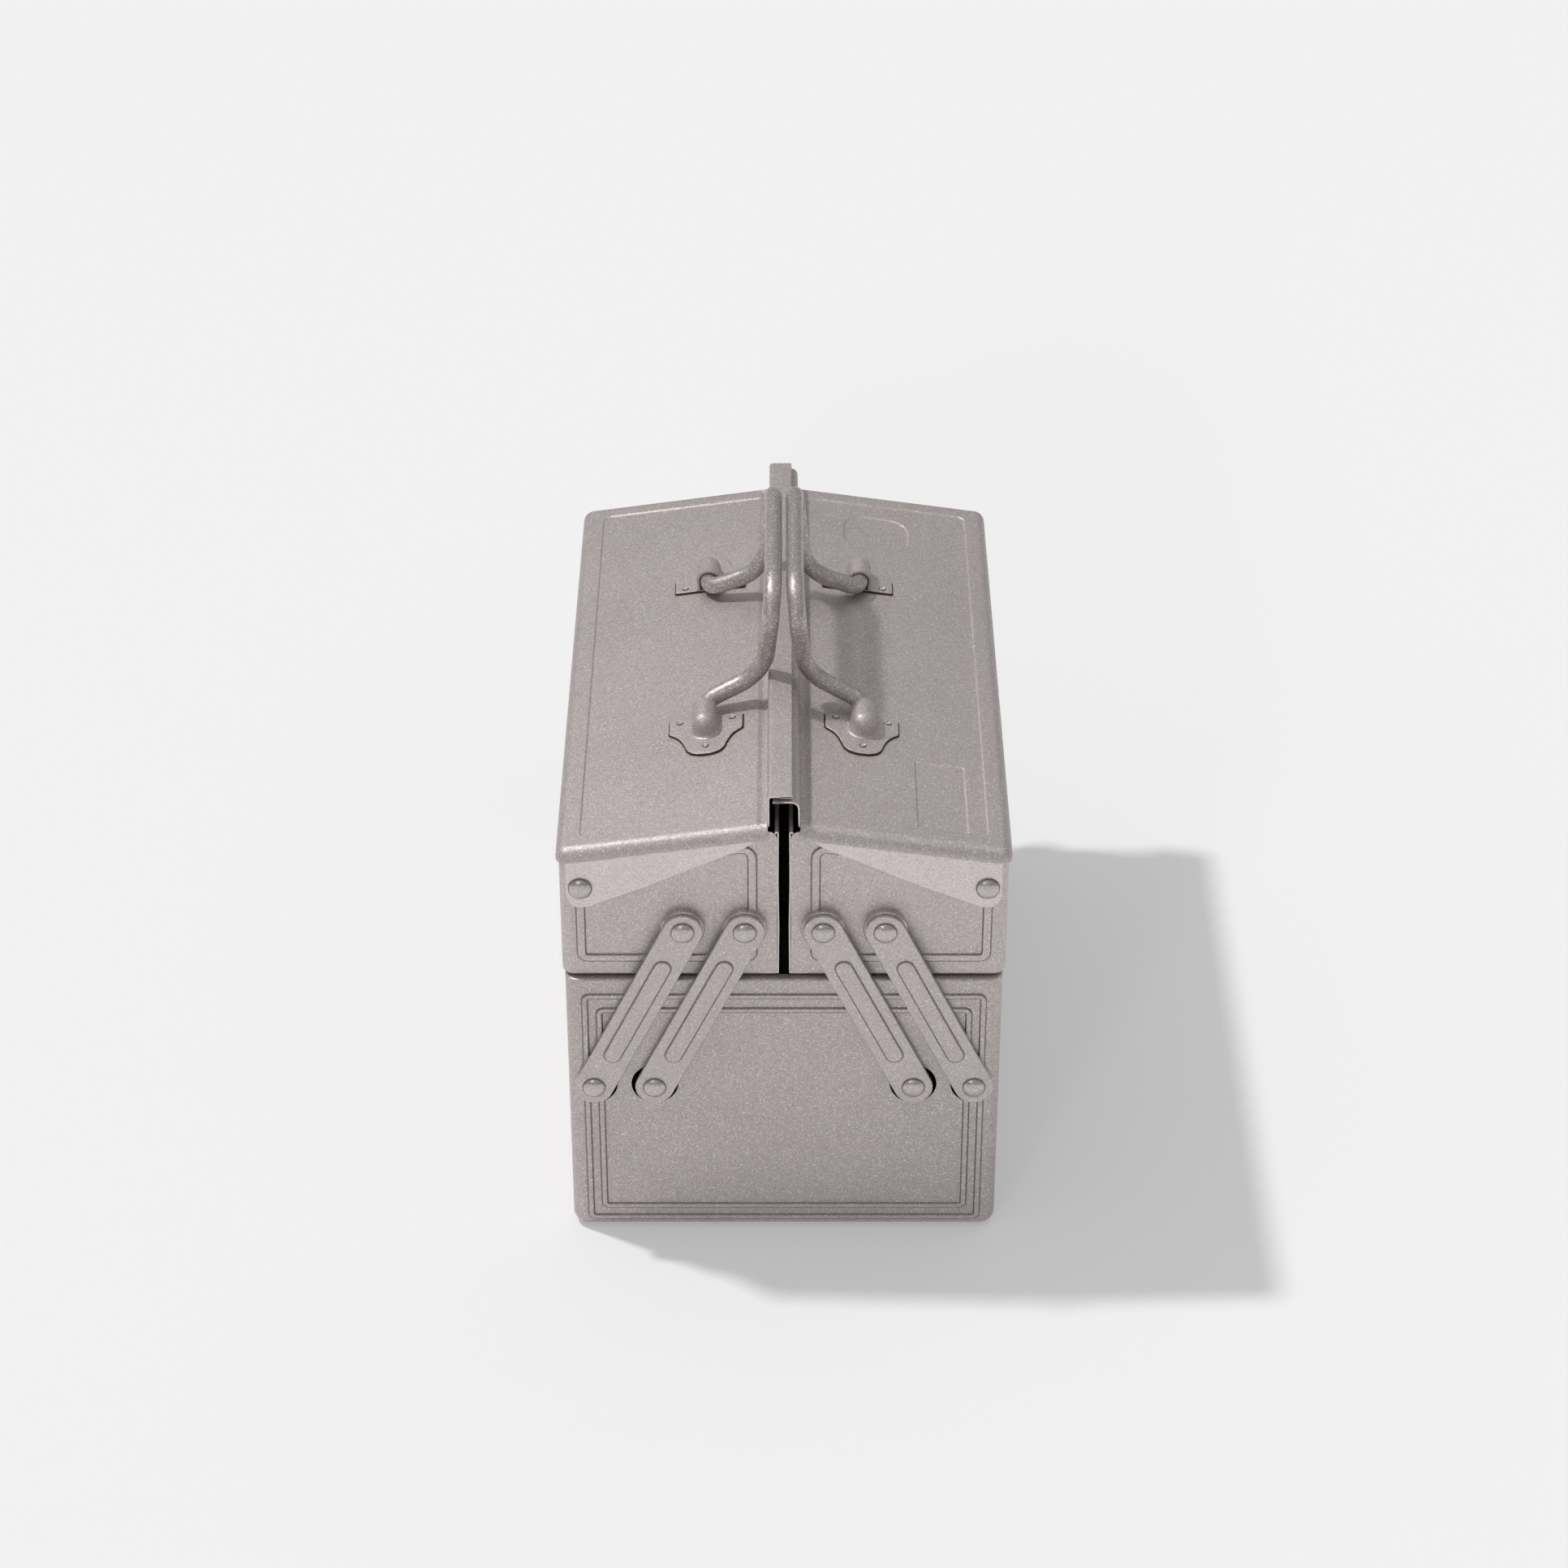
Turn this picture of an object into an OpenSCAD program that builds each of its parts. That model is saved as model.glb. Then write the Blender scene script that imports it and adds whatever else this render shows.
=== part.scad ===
// Cantilever tool box of pressed sheet steel: a deep base, two trays that swing out
// sideways on riveted links, and two lids that meet in an interlocking ridge.
// Origin: middle of the underside. X runs across the box, -Y is the front end, +Z is up.
// Every side part is drawn on the +X side and mirrored for the left one.

/* [Sheet and fits] */
// Thickness of the pressed sheet
sheet = 0.8; // [0.6:0.1:1.2]
// Gap between sheets of different bodies that slide past each other
slide_gap = 0.7; // [0.4:0.1:1.2]
// Radial clearance of a rivet in its hole
rivet_clearance = 0.05; // [0.02:0.01:0.1]
// Gap along a rivet between stacked pieces
stack_gap = 0.15; // [0.1:0.05:0.3]

/* [Base] */
// Length of the base over its end faces
base_length = 344; // [280:1:420]
// Width of the base over its side walls, without the raised bands
base_width = 218; // [180:1:262]
// Height of the base to its rim
base_height = 159; // [130:1:192]
// Radius of the upright corners
base_corner_radius = 7.5; // [5:0.5:14]
// Radius along the bottom edges
base_floor_radius = 5; // [3:0.5:9]
// Width of the flange that turns inward round the rim
rim_flange = 5; // [4:0.5:9]
// Height of one raised band on the long sides
band_height = 29.5; // [20:0.5:32]
// Distance from one band to the next
band_pitch = 33.3; // [33:0.1:36]
// Height of a band over the sheet around it
band_rise = 1; // [0.5:0.1:2]
// Distance from a rounded corner to the near end of a band
band_margin = 12; // [8:1:20]

/* [Trays] */
// Gap between the rim of the base and the underside of a tray
tray_gap = 1; // [0.8:0.1:3]
// Distance that the end faces of a tray lie inside those of the base
tray_end_inset = 2.8; // [2:0.1:5]
// Distance that the outer face of a tray lies outside the side wall of the base
tray_overhang = 1.3; // [0:0.1:3]
// Distance from the middle plane to the inner wall of a tray
tray_inner_x = 2.2; // [1:0.1:5]
// Radius of the outer upright corners of a tray
tray_corner_radius = 6.5; // [4:0.5:7]
// Radius along the bottom edges of a tray
tray_floor_radius = 3.5; // [2:0.5:6]
// Gap between the top edge of a tray and the sheet of its lid
tray_top_gap = 2.3; // [2.2:0.1:4]
// Width of the tabs that fix an inner wall to the floor and the ends
wall_tab = 9; // [6:0.5:14]
// Height of the raised band along the outer side of a tray
tray_band_height = 26; // [18:0.5:30]
// Distance from the underside of a tray up to that band
tray_band_lift = 28; // [20:0.5:32]
// Outer radius of the curled top edge of an inner wall
curl_radius = 1.3; // [1.1:0.1:2]

/* [Lids] */
// Distance that the outer edge of a lid lies outside the outer face of its tray
lid_overhang = 2.2; // [2:0.1:4]
// Slope of a lid, down from the ridge to its outer edge
lid_slope = 8.2; // [5:0.1:10]
// Height from the underside of a tray to the lid surface where it meets the ridge
lid_rise = 88.8; // [86:0.1:107]
// Depth of the flange along the outer edge of a lid
lid_flange = 6.5; // [5:0.5:9]
// Radius of the bends along the edges of a lid
lid_bend_radius = 4; // [2:0.5:6]
// Distance from the middle plane to the outer face of the ridge
ridge_half_width = 8.2; // [7:0.1:10]
// Height of the ridge over the lid surface
ridge_height = 16.6; // [14:0.1:20]
// Width of the left ridge flange over its top
left_ridge_width = 12.3; // [11:0.1:14]
// Gap between the two folded flanges in the ridge
ridge_gap = 1.6; // [1.5:0.1:2.5]
// Width of the folded hem at each ridge flange
hem_width = 5.5; // [4:0.5:7]
// Bend radius along the shoulder of the right ridge flange
right_ridge_bend = 4.5; // [3:0.1:5]
// Bend radius along the shoulder of the left ridge flange
left_ridge_bend = 2.5; // [1.5:0.1:4]
// Radius of the round end of an end flap at the lid rivet
flap_nose_radius = 12; // [9:0.5:14]
// Slope of the lower edge of an end flap
flap_slope = 26.5; // [20:0.5:32]

/* [Links and rivets] */
// Distance from the side wall of the base in to the lower rivet of an outer link
lower_pivot_inset = 13.1; // [12.8:0.1:20]
// Depth of the lower rivets under the rim of the base
lower_pivot_drop = 65; // [40:0.5:78]
// Distance from the middle plane to the upper rivet of an inner link
upper_pivot_x = 19.3; // [12:0.1:24]
// Height of the upper rivets over the underside of the tray
upper_pivot_rise = 29.9; // [16:0.1:36]
// Distance between the two links of a pair
link_spacing = 30.6; // [26:0.1:34]
// Width of a link
link_width = 19.6; // [16:0.1:22]
// Thickness of a link
link_thickness = 2; // [1.5:0.1:3]
// Width of the raised rib along a link
rib_width = 7.6; // [5:0.1:9]
// Height of the raised rib over the link
rib_rise = 0.8; // [0.4:0.1:1.2]
// Distance from each rivet to the near end of the rib
rib_inset = 15.5; // [14:0.5:22]
// Distance that the links stand off the end faces of the base
link_standoff = 1.2; // [1:0.1:2]
// Radius of the washers behind the lower link ends
washer_radius = 7; // [6.5:0.1:9]
// Radius of the round pocket behind a lower link end
pocket_radius = 11.3; // [10.5:0.1:12]
// Depth of that pocket
pocket_depth = 1.6; // [1:0.1:3]
// Radius of a rivet shank
rivet_radius = 2.6; // [2:0.1:3.2]
// Radius of a rivet head
rivet_head_radius = 5.8; // [4.5:0.1:6.5]
// Height of a rivet head
rivet_head_height = 2.4; // [1.5:0.1:3.5]
// Radius of the formed tail inside the sheet
rivet_tail_radius = 4.4; // [3.8:0.1:5]
// Height of the formed tail inside the sheet
rivet_tail_height = 1.4; // [1:0.1:2.5]
// Distance from the outer face of a tray in to its lid rivets
lid_pivot_inset = 10.5; // [8:0.1:16]
// Height of a lid rivet over the underside of the tray
lid_pivot_rise = 53.3; // [50:0.1:62]

/* [Handles] */
// Radius of the handle rod
rod_radius = 4.5; // [3.5:0.1:5]
// Distance from the middle plane to the axis of a handle leg
handle_pivot_x = 40.2; // [34:0.1:46]
// Distance that a leg runs out of its bracket to its bend
leg_run = 7.5; // [6:0.5:12]
// Distance along the box from the bend of a leg to the knee of its arm
knee_step = 4.5; // [2:0.5:10]
// Distance along the box from a knee out to the end of the grip
grip_step = 10.5; // [4:0.5:14]
// Distance across the box from the face of the ridge to a knee
knee_clearance = 2; // [1.5:0.1:6]
// Depth of a knee under the top of the ridge
knee_drop = 1.1; // [0:0.1:3]
// Gap between the two upright grips
grip_gap = 2; // [1:0.1:5]
// Height of the grip over the leg axis
grip_rise = 63.3; // [50:0.1:75]
// Bend radius of the rod at a leg
leg_bend_radius = 9; // [8:0.5:12]
// Bend radius of the rod at a knee
knee_bend_radius = 24; // [14:1:26]
// Bend radius of the rod at an end of the grip
grip_bend_radius = 18; // [10:1:22]

/* [Handle brackets] */
// Distance from the middle of the box to the straight edge of a bracket
bracket_edge_y = 63.5; // [60:0.5:80]
// Thickness of a bracket
bracket_thickness = 1.4; // [1:0.1:2]
// Half of the width of a bracket at its straight edge
bracket_half_width = 18.7; // [15:0.1:22]
// Length of the wide part of a bracket
bracket_wide_length = 12.5; // [9:0.5:16]
// Radius of the rounded nose of a bracket
bracket_nose_radius = 11.2; // [9:0.1:13]
// Length of a bracket from its straight edge to its nose
bracket_length = 34; // [30:0.5:40]
// Radial clearance of a handle leg in its bracket
leg_clearance = 0.4; // [0.3:0.05:0.8]
// Length of the handle leg inside its bracket
leg_hold = 13; // [9:0.5:16]
// Radius of a spot weld dimple
weld_radius = 1.3; // [0.8:0.1:2]
// Depth of a spot weld dimple
weld_depth = 0.3; // [0.1:0.1:0.5]

/* [Hidden] */

round_steps = 96;
rod_sides = 24;
bend_steps = 8;
leg_overlap = 0.6;
weld_inset = 3.5;
nose_weld_inset = 5;
outline_step = 1;
hem_gap = 1;
notch_reach = 6.7;
notch_lift = 6.3;
flap_root_gap = 2;
flap_root_width = 6;
flap_root_drop = 4;
curl_drop = 0.2;
tab_top_gap = 4;
bend_radius_inside = rod_radius - 0.01;
paint = [0.66, 0.63, 0.62];
paint_shade = [0.60, 0.57, 0.56];
cut = 1;

left = -1;
right = 1;
front = -1;
rear = 1;

base_end_y = base_length / 2;
base_side_x = base_width / 2;
tray_z = base_height + tray_gap;
tray_end_y = base_end_y - tray_end_inset;
tray_length = 2 * tray_end_y;
tray_half_width = base_side_x + tray_overhang;
tray_panel_x = tray_inner_x + sheet + slide_gap;
lid_end_y = tray_end_y + slide_gap + sheet;
lid_length = 2 * lid_end_y;
lid_half_width = tray_half_width + lid_overhang;
lid_root_z = tray_z + lid_rise;
lid_pivot_x = tray_half_width - lid_pivot_inset;
lid_pivot_z = tray_z + lid_pivot_rise;
band_top_gap = 0.5;
band_top_z = base_height - band_top_gap;
band_count = floor((band_top_z - base_floor_radius) / band_pitch);
band_end_margin = base_corner_radius + band_margin;
tray_band_z = tray_z + tray_band_lift;
tray_band_margin = tray_corner_radius + band_margin;

outer_pivot_x = base_side_x - lower_pivot_inset;
inner_pivot_x = outer_pivot_x - link_spacing;
lower_pivot_z = base_height - lower_pivot_drop;
upper_pivot_z = tray_z + upper_pivot_rise;
link_shift = inner_pivot_x - upper_pivot_x;
link_length = norm([link_shift, upper_pivot_z - lower_pivot_z]);
link_lean = asin(link_shift / link_length);
link_back_y = base_end_y + link_standoff;
link_front_y = link_back_y + link_thickness;
spacer_margin = 1;
spacer_radius = link_width / 2 + spacer_margin;

// Position in X and Z of a point that lies u outward along the lid and w over its surface
function on_lid(u, w) = [
    ridge_half_width + u * cos(lid_slope) + w * sin(lid_slope),
    lid_root_z - u * sin(lid_slope) + w * cos(lid_slope)
];

lid_run = (lid_half_width - ridge_half_width) / cos(lid_slope);
leg_drop = 0.4;
leg_height = rod_radius + bracket_thickness - leg_drop;
handle_u = (handle_pivot_x - ridge_half_width - leg_height * sin(lid_slope)) / cos(lid_slope);
handle_pivot_z = on_lid(handle_u, leg_height)[1];
tunnel_inner = rod_radius + leg_clearance;
tunnel_outer = tunnel_inner + bracket_thickness;
leg_bend_y = bracket_edge_y - leg_run;
knee_y = leg_bend_y - knee_step;
grip_end_y = knee_y + grip_step;
knee_x = ridge_half_width + knee_clearance;
knee_z = lid_root_z + ridge_height - knee_drop;
grip_x = rod_radius + grip_gap / 2;

// ---------- geometry helpers ----------

function unit(v) = v / norm(v);

// Points of an arc that rounds the corner b of the outline a, b, c with radius r
function corner_arc(a, b, c, r, steps) =
    r == 0 ? [b] :
    let (
        to_a = unit(a - b),
        to_c = unit(c - b),
        half = acos(to_a * to_c) / 2,
        centre = b + unit(to_a + to_c) * r / sin(half),
        from = b + to_a * r / tan(half) - centre,
        to = b + to_c * r / tan(half) - centre,
        turn = 180 - 2 * half
    )
    [for (i = [0:steps])
        centre + (from * sin(turn * (1 - i / steps)) + to * sin(turn * i / steps)) / sin(turn)];

// Closed outline with each corner rounded by its own radius
function rounded(points, radii, steps = 6) =
    let (n = len(points))
    [for (i = [0:n - 1])
        each corner_arc(points[(i + n - 1) % n], points[i], points[(i + 1) % n], radii[i], steps)];

module on_side(side) {
    if (side < 0) mirror([1, 0, 0]) children();
    else children();
}

module on_end(end) {
    if (end > 0) mirror([0, 1, 0]) children();
    else children();
}

// Extrudes an X-Z outline along Y, centred on the middle of the box
module along_y(length) {
    rotate([90, 0, 0]) linear_extrude(height = length, center = true) children();
}

// Extrudes a Y-Z outline along X from x0 to x1
module along_x(x0, x1) {
    translate([x0, 0, 0]) rotate([90, 0, 90]) linear_extrude(height = x1 - x0) children();
}

// Frame that lies on the lid: X runs outward down the slope, Z stands on the surface
module lid_frame() {
    translate([ridge_half_width, 0, lid_root_z]) rotate([0, lid_slope, 0]) children();
}

// Cylinder along Y from y0 to y1 at the point x, z
module pin_y(x, z, radius, y0, y1) {
    translate([x, y1, z]) rotate([90, 0, 0]) cylinder(h = y1 - y0, r = radius, $fn = round_steps);
}

// ---------- base ----------

// Solid of the base inset by t on every face: t = 0 is its outside, t = sheet its inside
module base_block(t, top) {
    x = base_side_x - t;
    y = base_end_y - t;
    upright = base_corner_radius - t;
    low = base_floor_radius - t;
    intersection() {
        linear_extrude(height = top)
            polygon(rounded([[-x, -y], [x, -y], [x, y], [-x, y]], [upright, upright, upright, upright]));
        along_y(base_length)
            polygon(rounded([[-x, t], [x, t], [x, top], [-x, top]], [low, low, 0, 0]));
        along_x(-base_side_x, base_side_x)
            polygon(rounded([[-y, t], [y, t], [y, top], [-y, top]], [low, low, 0, 0]));
    }
}

module base_bands() {
    for (side = [left, right], i = [0:band_count - 1])
        on_side(side)
            translate([
                base_side_x - sheet / 2,
                -base_end_y + band_end_margin,
                band_top_z - i * band_pitch - band_height
            ])
                cube([sheet / 2 + band_rise, base_length - 2 * band_end_margin, band_height]);
}

// Round pocket pressed into an end wall behind a lower link end
module pocket_wall(x) {
    pin_y(x, lower_pivot_z, pocket_radius + sheet, -base_end_y, -base_end_y + pocket_depth + sheet);
}

module pocket_cut(x) {
    pin_y(x, lower_pivot_z, pocket_radius, -base_end_y - cut, -base_end_y + pocket_depth);
}

module base_rivet_hole(x) {
    far_y = base_end_y - pocket_depth - sheet;
    pin_y(x, lower_pivot_z, rivet_radius + rivet_clearance, -base_end_y - cut, -far_y + cut);
}

module at_lower_pivots() {
    for (side = [left, right], end = [front, rear])
        on_side(side) on_end(end) children();
}

module base_shell() {
    color(paint)
    difference() {
        union() {
            difference() {
                base_block(0, base_height);
                base_block(sheet, base_height - sheet);
                translate([-base_side_x + rim_flange, -base_end_y + rim_flange, base_height - sheet - cut])
                    cube([base_width - 2 * rim_flange, base_length - 2 * rim_flange, sheet + 2 * cut]);
            }
            base_bands();
            at_lower_pivots() {
                pocket_wall(outer_pivot_x);
                pocket_wall(inner_pivot_x);
            }
        }
        at_lower_pivots() {
            pocket_cut(outer_pivot_x);
            pocket_cut(inner_pivot_x);
            base_rivet_hole(outer_pivot_x);
            base_rivet_hole(inner_pivot_x);
        }
    }
}

// ---------- rivets and links ----------

// Domed rivet at x, z: its head stands outside head_y and its tail inside tail_y, both as
// distances from the middle of the box
module rivet(x, z, head_y, tail_y) {
    dome = (pow(rivet_head_radius, 2) + pow(rivet_head_height, 2)) / (2 * rivet_head_height);
    pin_y(x, z, rivet_radius, -head_y, -tail_y);
    pin_y(x, z, rivet_tail_radius, -tail_y, -tail_y + rivet_tail_height);
    translate([x, -head_y, z]) rotate([90, 0, 0]) intersection() {
        translate([0, 0, rivet_head_height - dome]) sphere(r = dome, $fn = round_steps);
        cylinder(h = rivet_head_height, r = rivet_head_radius, $fn = round_steps);
    }
}

module base_link_rivets() {
    tail_y = base_end_y - pocket_depth - sheet;
    color(paint)
    at_lower_pivots() {
        rivet(outer_pivot_x, lower_pivot_z, link_front_y + stack_gap, tail_y);
        rivet(inner_pivot_x, lower_pivot_z, link_front_y + stack_gap, tail_y);
    }
}

// Washers that stand in the pockets and carry the lower link ends
module base_link_spacers() {
    floor_y = base_end_y - pocket_depth;
    color(paint_shade)
    at_lower_pivots() {
        washer(outer_pivot_x, lower_pivot_z, washer_radius, link_back_y - stack_gap, floor_y);
        washer(inner_pivot_x, lower_pivot_z, washer_radius, link_back_y - stack_gap, floor_y);
    }
}

// Washer round the rivet at x, z, between two distances from the middle of the box
module washer(x, z, radius, far_y, near_y) {
    difference() {
        pin_y(x, z, radius, -far_y, -near_y);
        pin_y(x, z, rivet_radius + rivet_clearance, -far_y - cut, -near_y + cut);
    }
}

// Link on the front right, leaning towards the middle from its lower rivet at x
module link(x) {
    hole = rivet_radius + rivet_clearance;
    rib_span = link_length - 2 * rib_inset;
    color(paint)
    translate([x, -link_back_y, lower_pivot_z]) rotate([0, -link_lean, 0]) rotate([90, 0, 0])
    difference() {
        union() {
            for (v = [0, link_length])
                translate([0, v, 0]) cylinder(h = link_thickness, r = link_width / 2, $fn = round_steps);
            translate([-link_width / 2, 0, 0]) cube([link_width, link_length, link_thickness]);
            for (v = [0, rib_span])
                translate([0, rib_inset + v, 0])
                    cylinder(h = link_thickness + rib_rise, r = rib_width / 2, $fn = round_steps);
            translate([-rib_width / 2, rib_inset, 0]) cube([rib_width, rib_span, link_thickness + rib_rise]);
        }
        for (v = [0, link_length])
            translate([0, v, -cut]) cylinder(h = link_thickness + 2 * cut, r = hole, $fn = round_steps);
    }
}

module placed_link(side, end, x) {
    on_side(side) on_end(end) link(x);
}

module left_front_outer_link() { placed_link(left, front, outer_pivot_x); }
module left_front_inner_link() { placed_link(left, front, inner_pivot_x); }
module left_rear_outer_link() { placed_link(left, rear, outer_pivot_x); }
module left_rear_inner_link() { placed_link(left, rear, inner_pivot_x); }
module right_front_outer_link() { placed_link(right, front, outer_pivot_x); }
module right_front_inner_link() { placed_link(right, front, inner_pivot_x); }
module right_rear_outer_link() { placed_link(right, rear, outer_pivot_x); }
module right_rear_inner_link() { placed_link(right, rear, inner_pivot_x); }

// ---------- trays ----------

// Top line of the tray ends: parallel to the lid and a gap beneath it
function tray_top_z(x) =
    lid_root_z - (x - ridge_half_width) * tan(lid_slope) - (sheet + tray_top_gap) / cos(lid_slope);

// Solid of a tray inset by t: its inner side stays open where the inner wall stands
module tray_block(t) {
    x0 = tray_panel_x;
    x1 = tray_half_width - t;
    y = tray_end_y - t;
    upright = tray_corner_radius - t;
    low = tray_floor_radius - t;
    z0 = tray_z + t;
    rise = t > 0 ? cut : 0;
    top_in = tray_top_z(x0) + rise;
    top_out = tray_top_z(x1) + rise;
    start = x0 - (t > 0 ? cut : 0);
    intersection() {
        translate([0, 0, tray_z]) linear_extrude(height = top_in - tray_z + cut)
            polygon(rounded([[start, -y], [x1, -y], [x1, y], [start, y]], [0, upright, upright, 0]));
        along_y(tray_length)
            polygon(rounded([[start, z0], [x1, z0], [x1, top_out], [start, top_in]], [0, low, 0, 0]));
        along_x(start, tray_half_width)
            polygon(rounded([[-y, z0], [y, z0], [y, top_in + cut], [-y, top_in + cut]], [low, low, 0, 0]));
    }
}

module tray_rivet_holes() {
    hole = rivet_radius + rivet_clearance;
    for (end = [front, rear]) on_end(end) {
        for (x = [outer_pivot_x, inner_pivot_x])
            pin_y(x - link_shift, upper_pivot_z, hole, -tray_end_y - cut, -tray_end_y + sheet + cut);
        pin_y(lid_pivot_x, lid_pivot_z, hole, -tray_end_y - cut, -tray_end_y + sheet + cut);
    }
}

module tray_shell() {
    color(paint)
    difference() {
        union() {
            difference() {
                tray_block(0);
                tray_block(sheet);
            }
            translate([tray_half_width - sheet / 2, -tray_end_y + tray_band_margin, tray_band_z])
                cube([sheet / 2 + band_rise / 2, tray_length - 2 * tray_band_margin, tray_band_height]);
        }
        tray_rivet_holes();
    }
}

// Thin upright sheet that closes the inner side of a tray, with tabs and a curled top edge
module tray_inner_wall() {
    x0 = tray_inner_x;
    y = tray_end_y - sheet;
    z0 = tray_z + sheet;
    curl_z = tray_top_z(tray_panel_x) - curl_radius - curl_drop;
    top = curl_z + 2 * curl_radius;
    low = tray_floor_radius - sheet;
    depth = sheet + slide_gap + wall_tab;
    color(paint)
    intersection() {
        union() {
            translate([x0, -y, z0]) cube([sheet, 2 * y, curl_z - z0]);
            translate([x0, -y, z0]) cube([depth, 2 * y, sheet]);
            for (end = [front, rear])
                on_end(end) translate([x0, -y, z0])
                    cube([depth, sheet, curl_z - z0 - tab_top_gap]);
            difference() {
                pin_y(x0 + curl_radius, curl_z, curl_radius, -y, y);
                pin_y(x0 + curl_radius, curl_z, curl_radius - sheet / 2, -y - cut, y + cut);
                translate([x0 + curl_radius, -y - cut, curl_z - 2 * curl_radius])
                    cube([2 * curl_radius, 2 * y + 2 * cut, 2 * curl_radius]);
            }
        }
        along_x(x0 - cut, x0 + depth + cut)
            polygon(rounded([[-y, z0], [y, z0], [y, top], [-y, top]], [low, low, 0, 0]));
    }
}

module tray_link_rivets() {
    tail_y = tray_end_y - sheet;
    color(paint)
    for (end = [front, rear], x = [outer_pivot_x, inner_pivot_x])
        on_end(end) rivet(x - link_shift, upper_pivot_z, link_front_y + stack_gap, tail_y);
}

// Round spacers that hold the upper link ends off the tray ends
module tray_spacers() {
    color(paint_shade)
    for (end = [front, rear], x = [outer_pivot_x, inner_pivot_x])
        on_end(end)
            washer(x - link_shift, upper_pivot_z, spacer_radius, link_back_y - stack_gap, tray_end_y);
}

module lid_rivets() {
    color(paint)
    for (end = [front, rear])
        on_end(end) rivet(lid_pivot_x, lid_pivot_z, lid_end_y + stack_gap, tray_end_y - sheet);
}

module left_tray_shell() { on_side(left) tray_shell(); }
module right_tray_shell() { on_side(right) tray_shell(); }
module left_tray_inner_wall() { on_side(left) tray_inner_wall(); }
module right_tray_inner_wall() { on_side(right) tray_inner_wall(); }
module left_tray_link_rivets() { on_side(left) tray_link_rivets(); }
module right_tray_link_rivets() { on_side(right) tray_link_rivets(); }
module left_tray_spacers() { on_side(left) tray_spacers(); }
module right_tray_spacers() { on_side(right) tray_spacers(); }
module left_lid_rivets() { on_side(left) lid_rivets(); }
module right_lid_rivets() { on_side(right) lid_rivets(); }

// ---------- lids ----------

// Rounded block under the lid surface, inset by t, in the frame that lies on the lid
module lid_block(t, depth) {
    y = lid_end_y - t;
    u1 = lid_run - t;
    bend = lid_bend_radius - t;
    lid_frame() intersection() {
        translate([0, 0, -depth]) linear_extrude(height = depth - t)
            polygon(rounded([[-cut, -y], [u1, -y], [u1, y], [-cut, y]], [0, bend, bend, 0]));
        along_y(lid_length)
            polygon(rounded([[-cut, -depth], [u1, -depth], [u1, -t], [-cut, -t]], [0, 0, bend, 0]));
        along_x(-cut, lid_run)
            polygon(rounded([[-y, -depth], [y, -depth], [y, -t], [-y, -t]], [0, 0, bend, bend]));
    }
}

// Outline in X and Z of an end flap: it tapers from the ridge to a round end at the lid rivet,
// with a notch between that end and the flange along the outer edge
module flap_outline() {
    nose = flap_nose_radius;
    lean = flap_slope;
    root_x = ridge_half_width + flap_root_gap;
    tangent = [lid_pivot_x - nose * sin(lean), lid_pivot_z - nose * cos(lean)];
    rise = (tangent[0] - root_x - flap_root_width) * tan(lean);
    edge_x = lid_pivot_x + notch_reach;
    intersection() {
        translate([lid_pivot_x, lid_pivot_z]) circle(r = nose, $fn = round_steps);
        translate([lid_pivot_x - nose, lid_pivot_z - nose]) square([2 * nose, nose + notch_lift]);
    }
    polygon([
        tangent,
        [root_x + flap_root_width, tangent[1] + rise],
        [root_x, lid_root_z - flap_root_drop],
        [root_x, lid_root_z + cut],
        [edge_x, lid_root_z + cut],
        [edge_x, lid_pivot_z]
    ]);
}

// Outline of a ridge flange from its hem at tip to its riser at the lid, inset by t
module ridge_outline(tip, top, bend, t) {
    root_z = lid_root_z - sheet;
    back = t > 0 ? cut : 0;
    x1 = ridge_half_width - t;
    polygon(rounded(
        [[tip - back, root_z - back], [x1, root_z - back], [x1, top - t], [tip - back, top - t]],
        [0, 0, bend - t, 0]
    ));
}

// Ridge flange: rises from the lid, bends over its shoulder and folds back under itself
module ridge_profile(tip, top, bend) {
    difference() {
        ridge_outline(tip, top, bend, 0);
        ridge_outline(tip, top, bend, sheet);
    }
    translate([tip, top - 2 * sheet]) square([hem_width, sheet]);
}

// The right flange lies below, the left one folds over it
module right_ridge_profile() {
    top = lid_root_z + ridge_height - 2 * sheet - ridge_gap;
    ridge_profile(-ridge_half_width + 2 * sheet + hem_gap, top, right_ridge_bend);
}

module left_ridge_profile() {
    ridge_profile(ridge_half_width - left_ridge_width, lid_root_z + ridge_height, left_ridge_bend);
}

module lid_body() {
    depth = lid_root_z - lid_pivot_z + 2 * flap_nose_radius;
    hole = rivet_radius + rivet_clearance;
    difference() {
        union() {
            difference() {
                lid_block(0, lid_flange);
                lid_block(sheet, lid_flange + cut);
            }
            for (end = [front, rear])
                on_end(end) intersection() {
                    translate([0, -lid_end_y + sheet, 0]) rotate([90, 0, 0])
                        linear_extrude(height = sheet) flap_outline();
                    lid_frame() translate([-depth, -lid_end_y - cut, -depth - lid_bend_radius])
                        cube([lid_run + 2 * depth, 2 * cut + sheet, depth]);
                }
        }
        for (end = [front, rear])
            on_end(end) pin_y(lid_pivot_x, lid_pivot_z, hole, -lid_end_y - cut, -lid_end_y + sheet + cut);
    }
}

module left_lid() {
    color(paint) on_side(left) {
        lid_body();
        along_y(lid_length - 2 * lid_bend_radius) left_ridge_profile();
    }
}

module right_lid() {
    color(paint) on_side(right) {
        lid_body();
        along_y(lid_length - 2 * lid_bend_radius) right_ridge_profile();
    }
}

// ---------- handle brackets ----------

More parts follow.
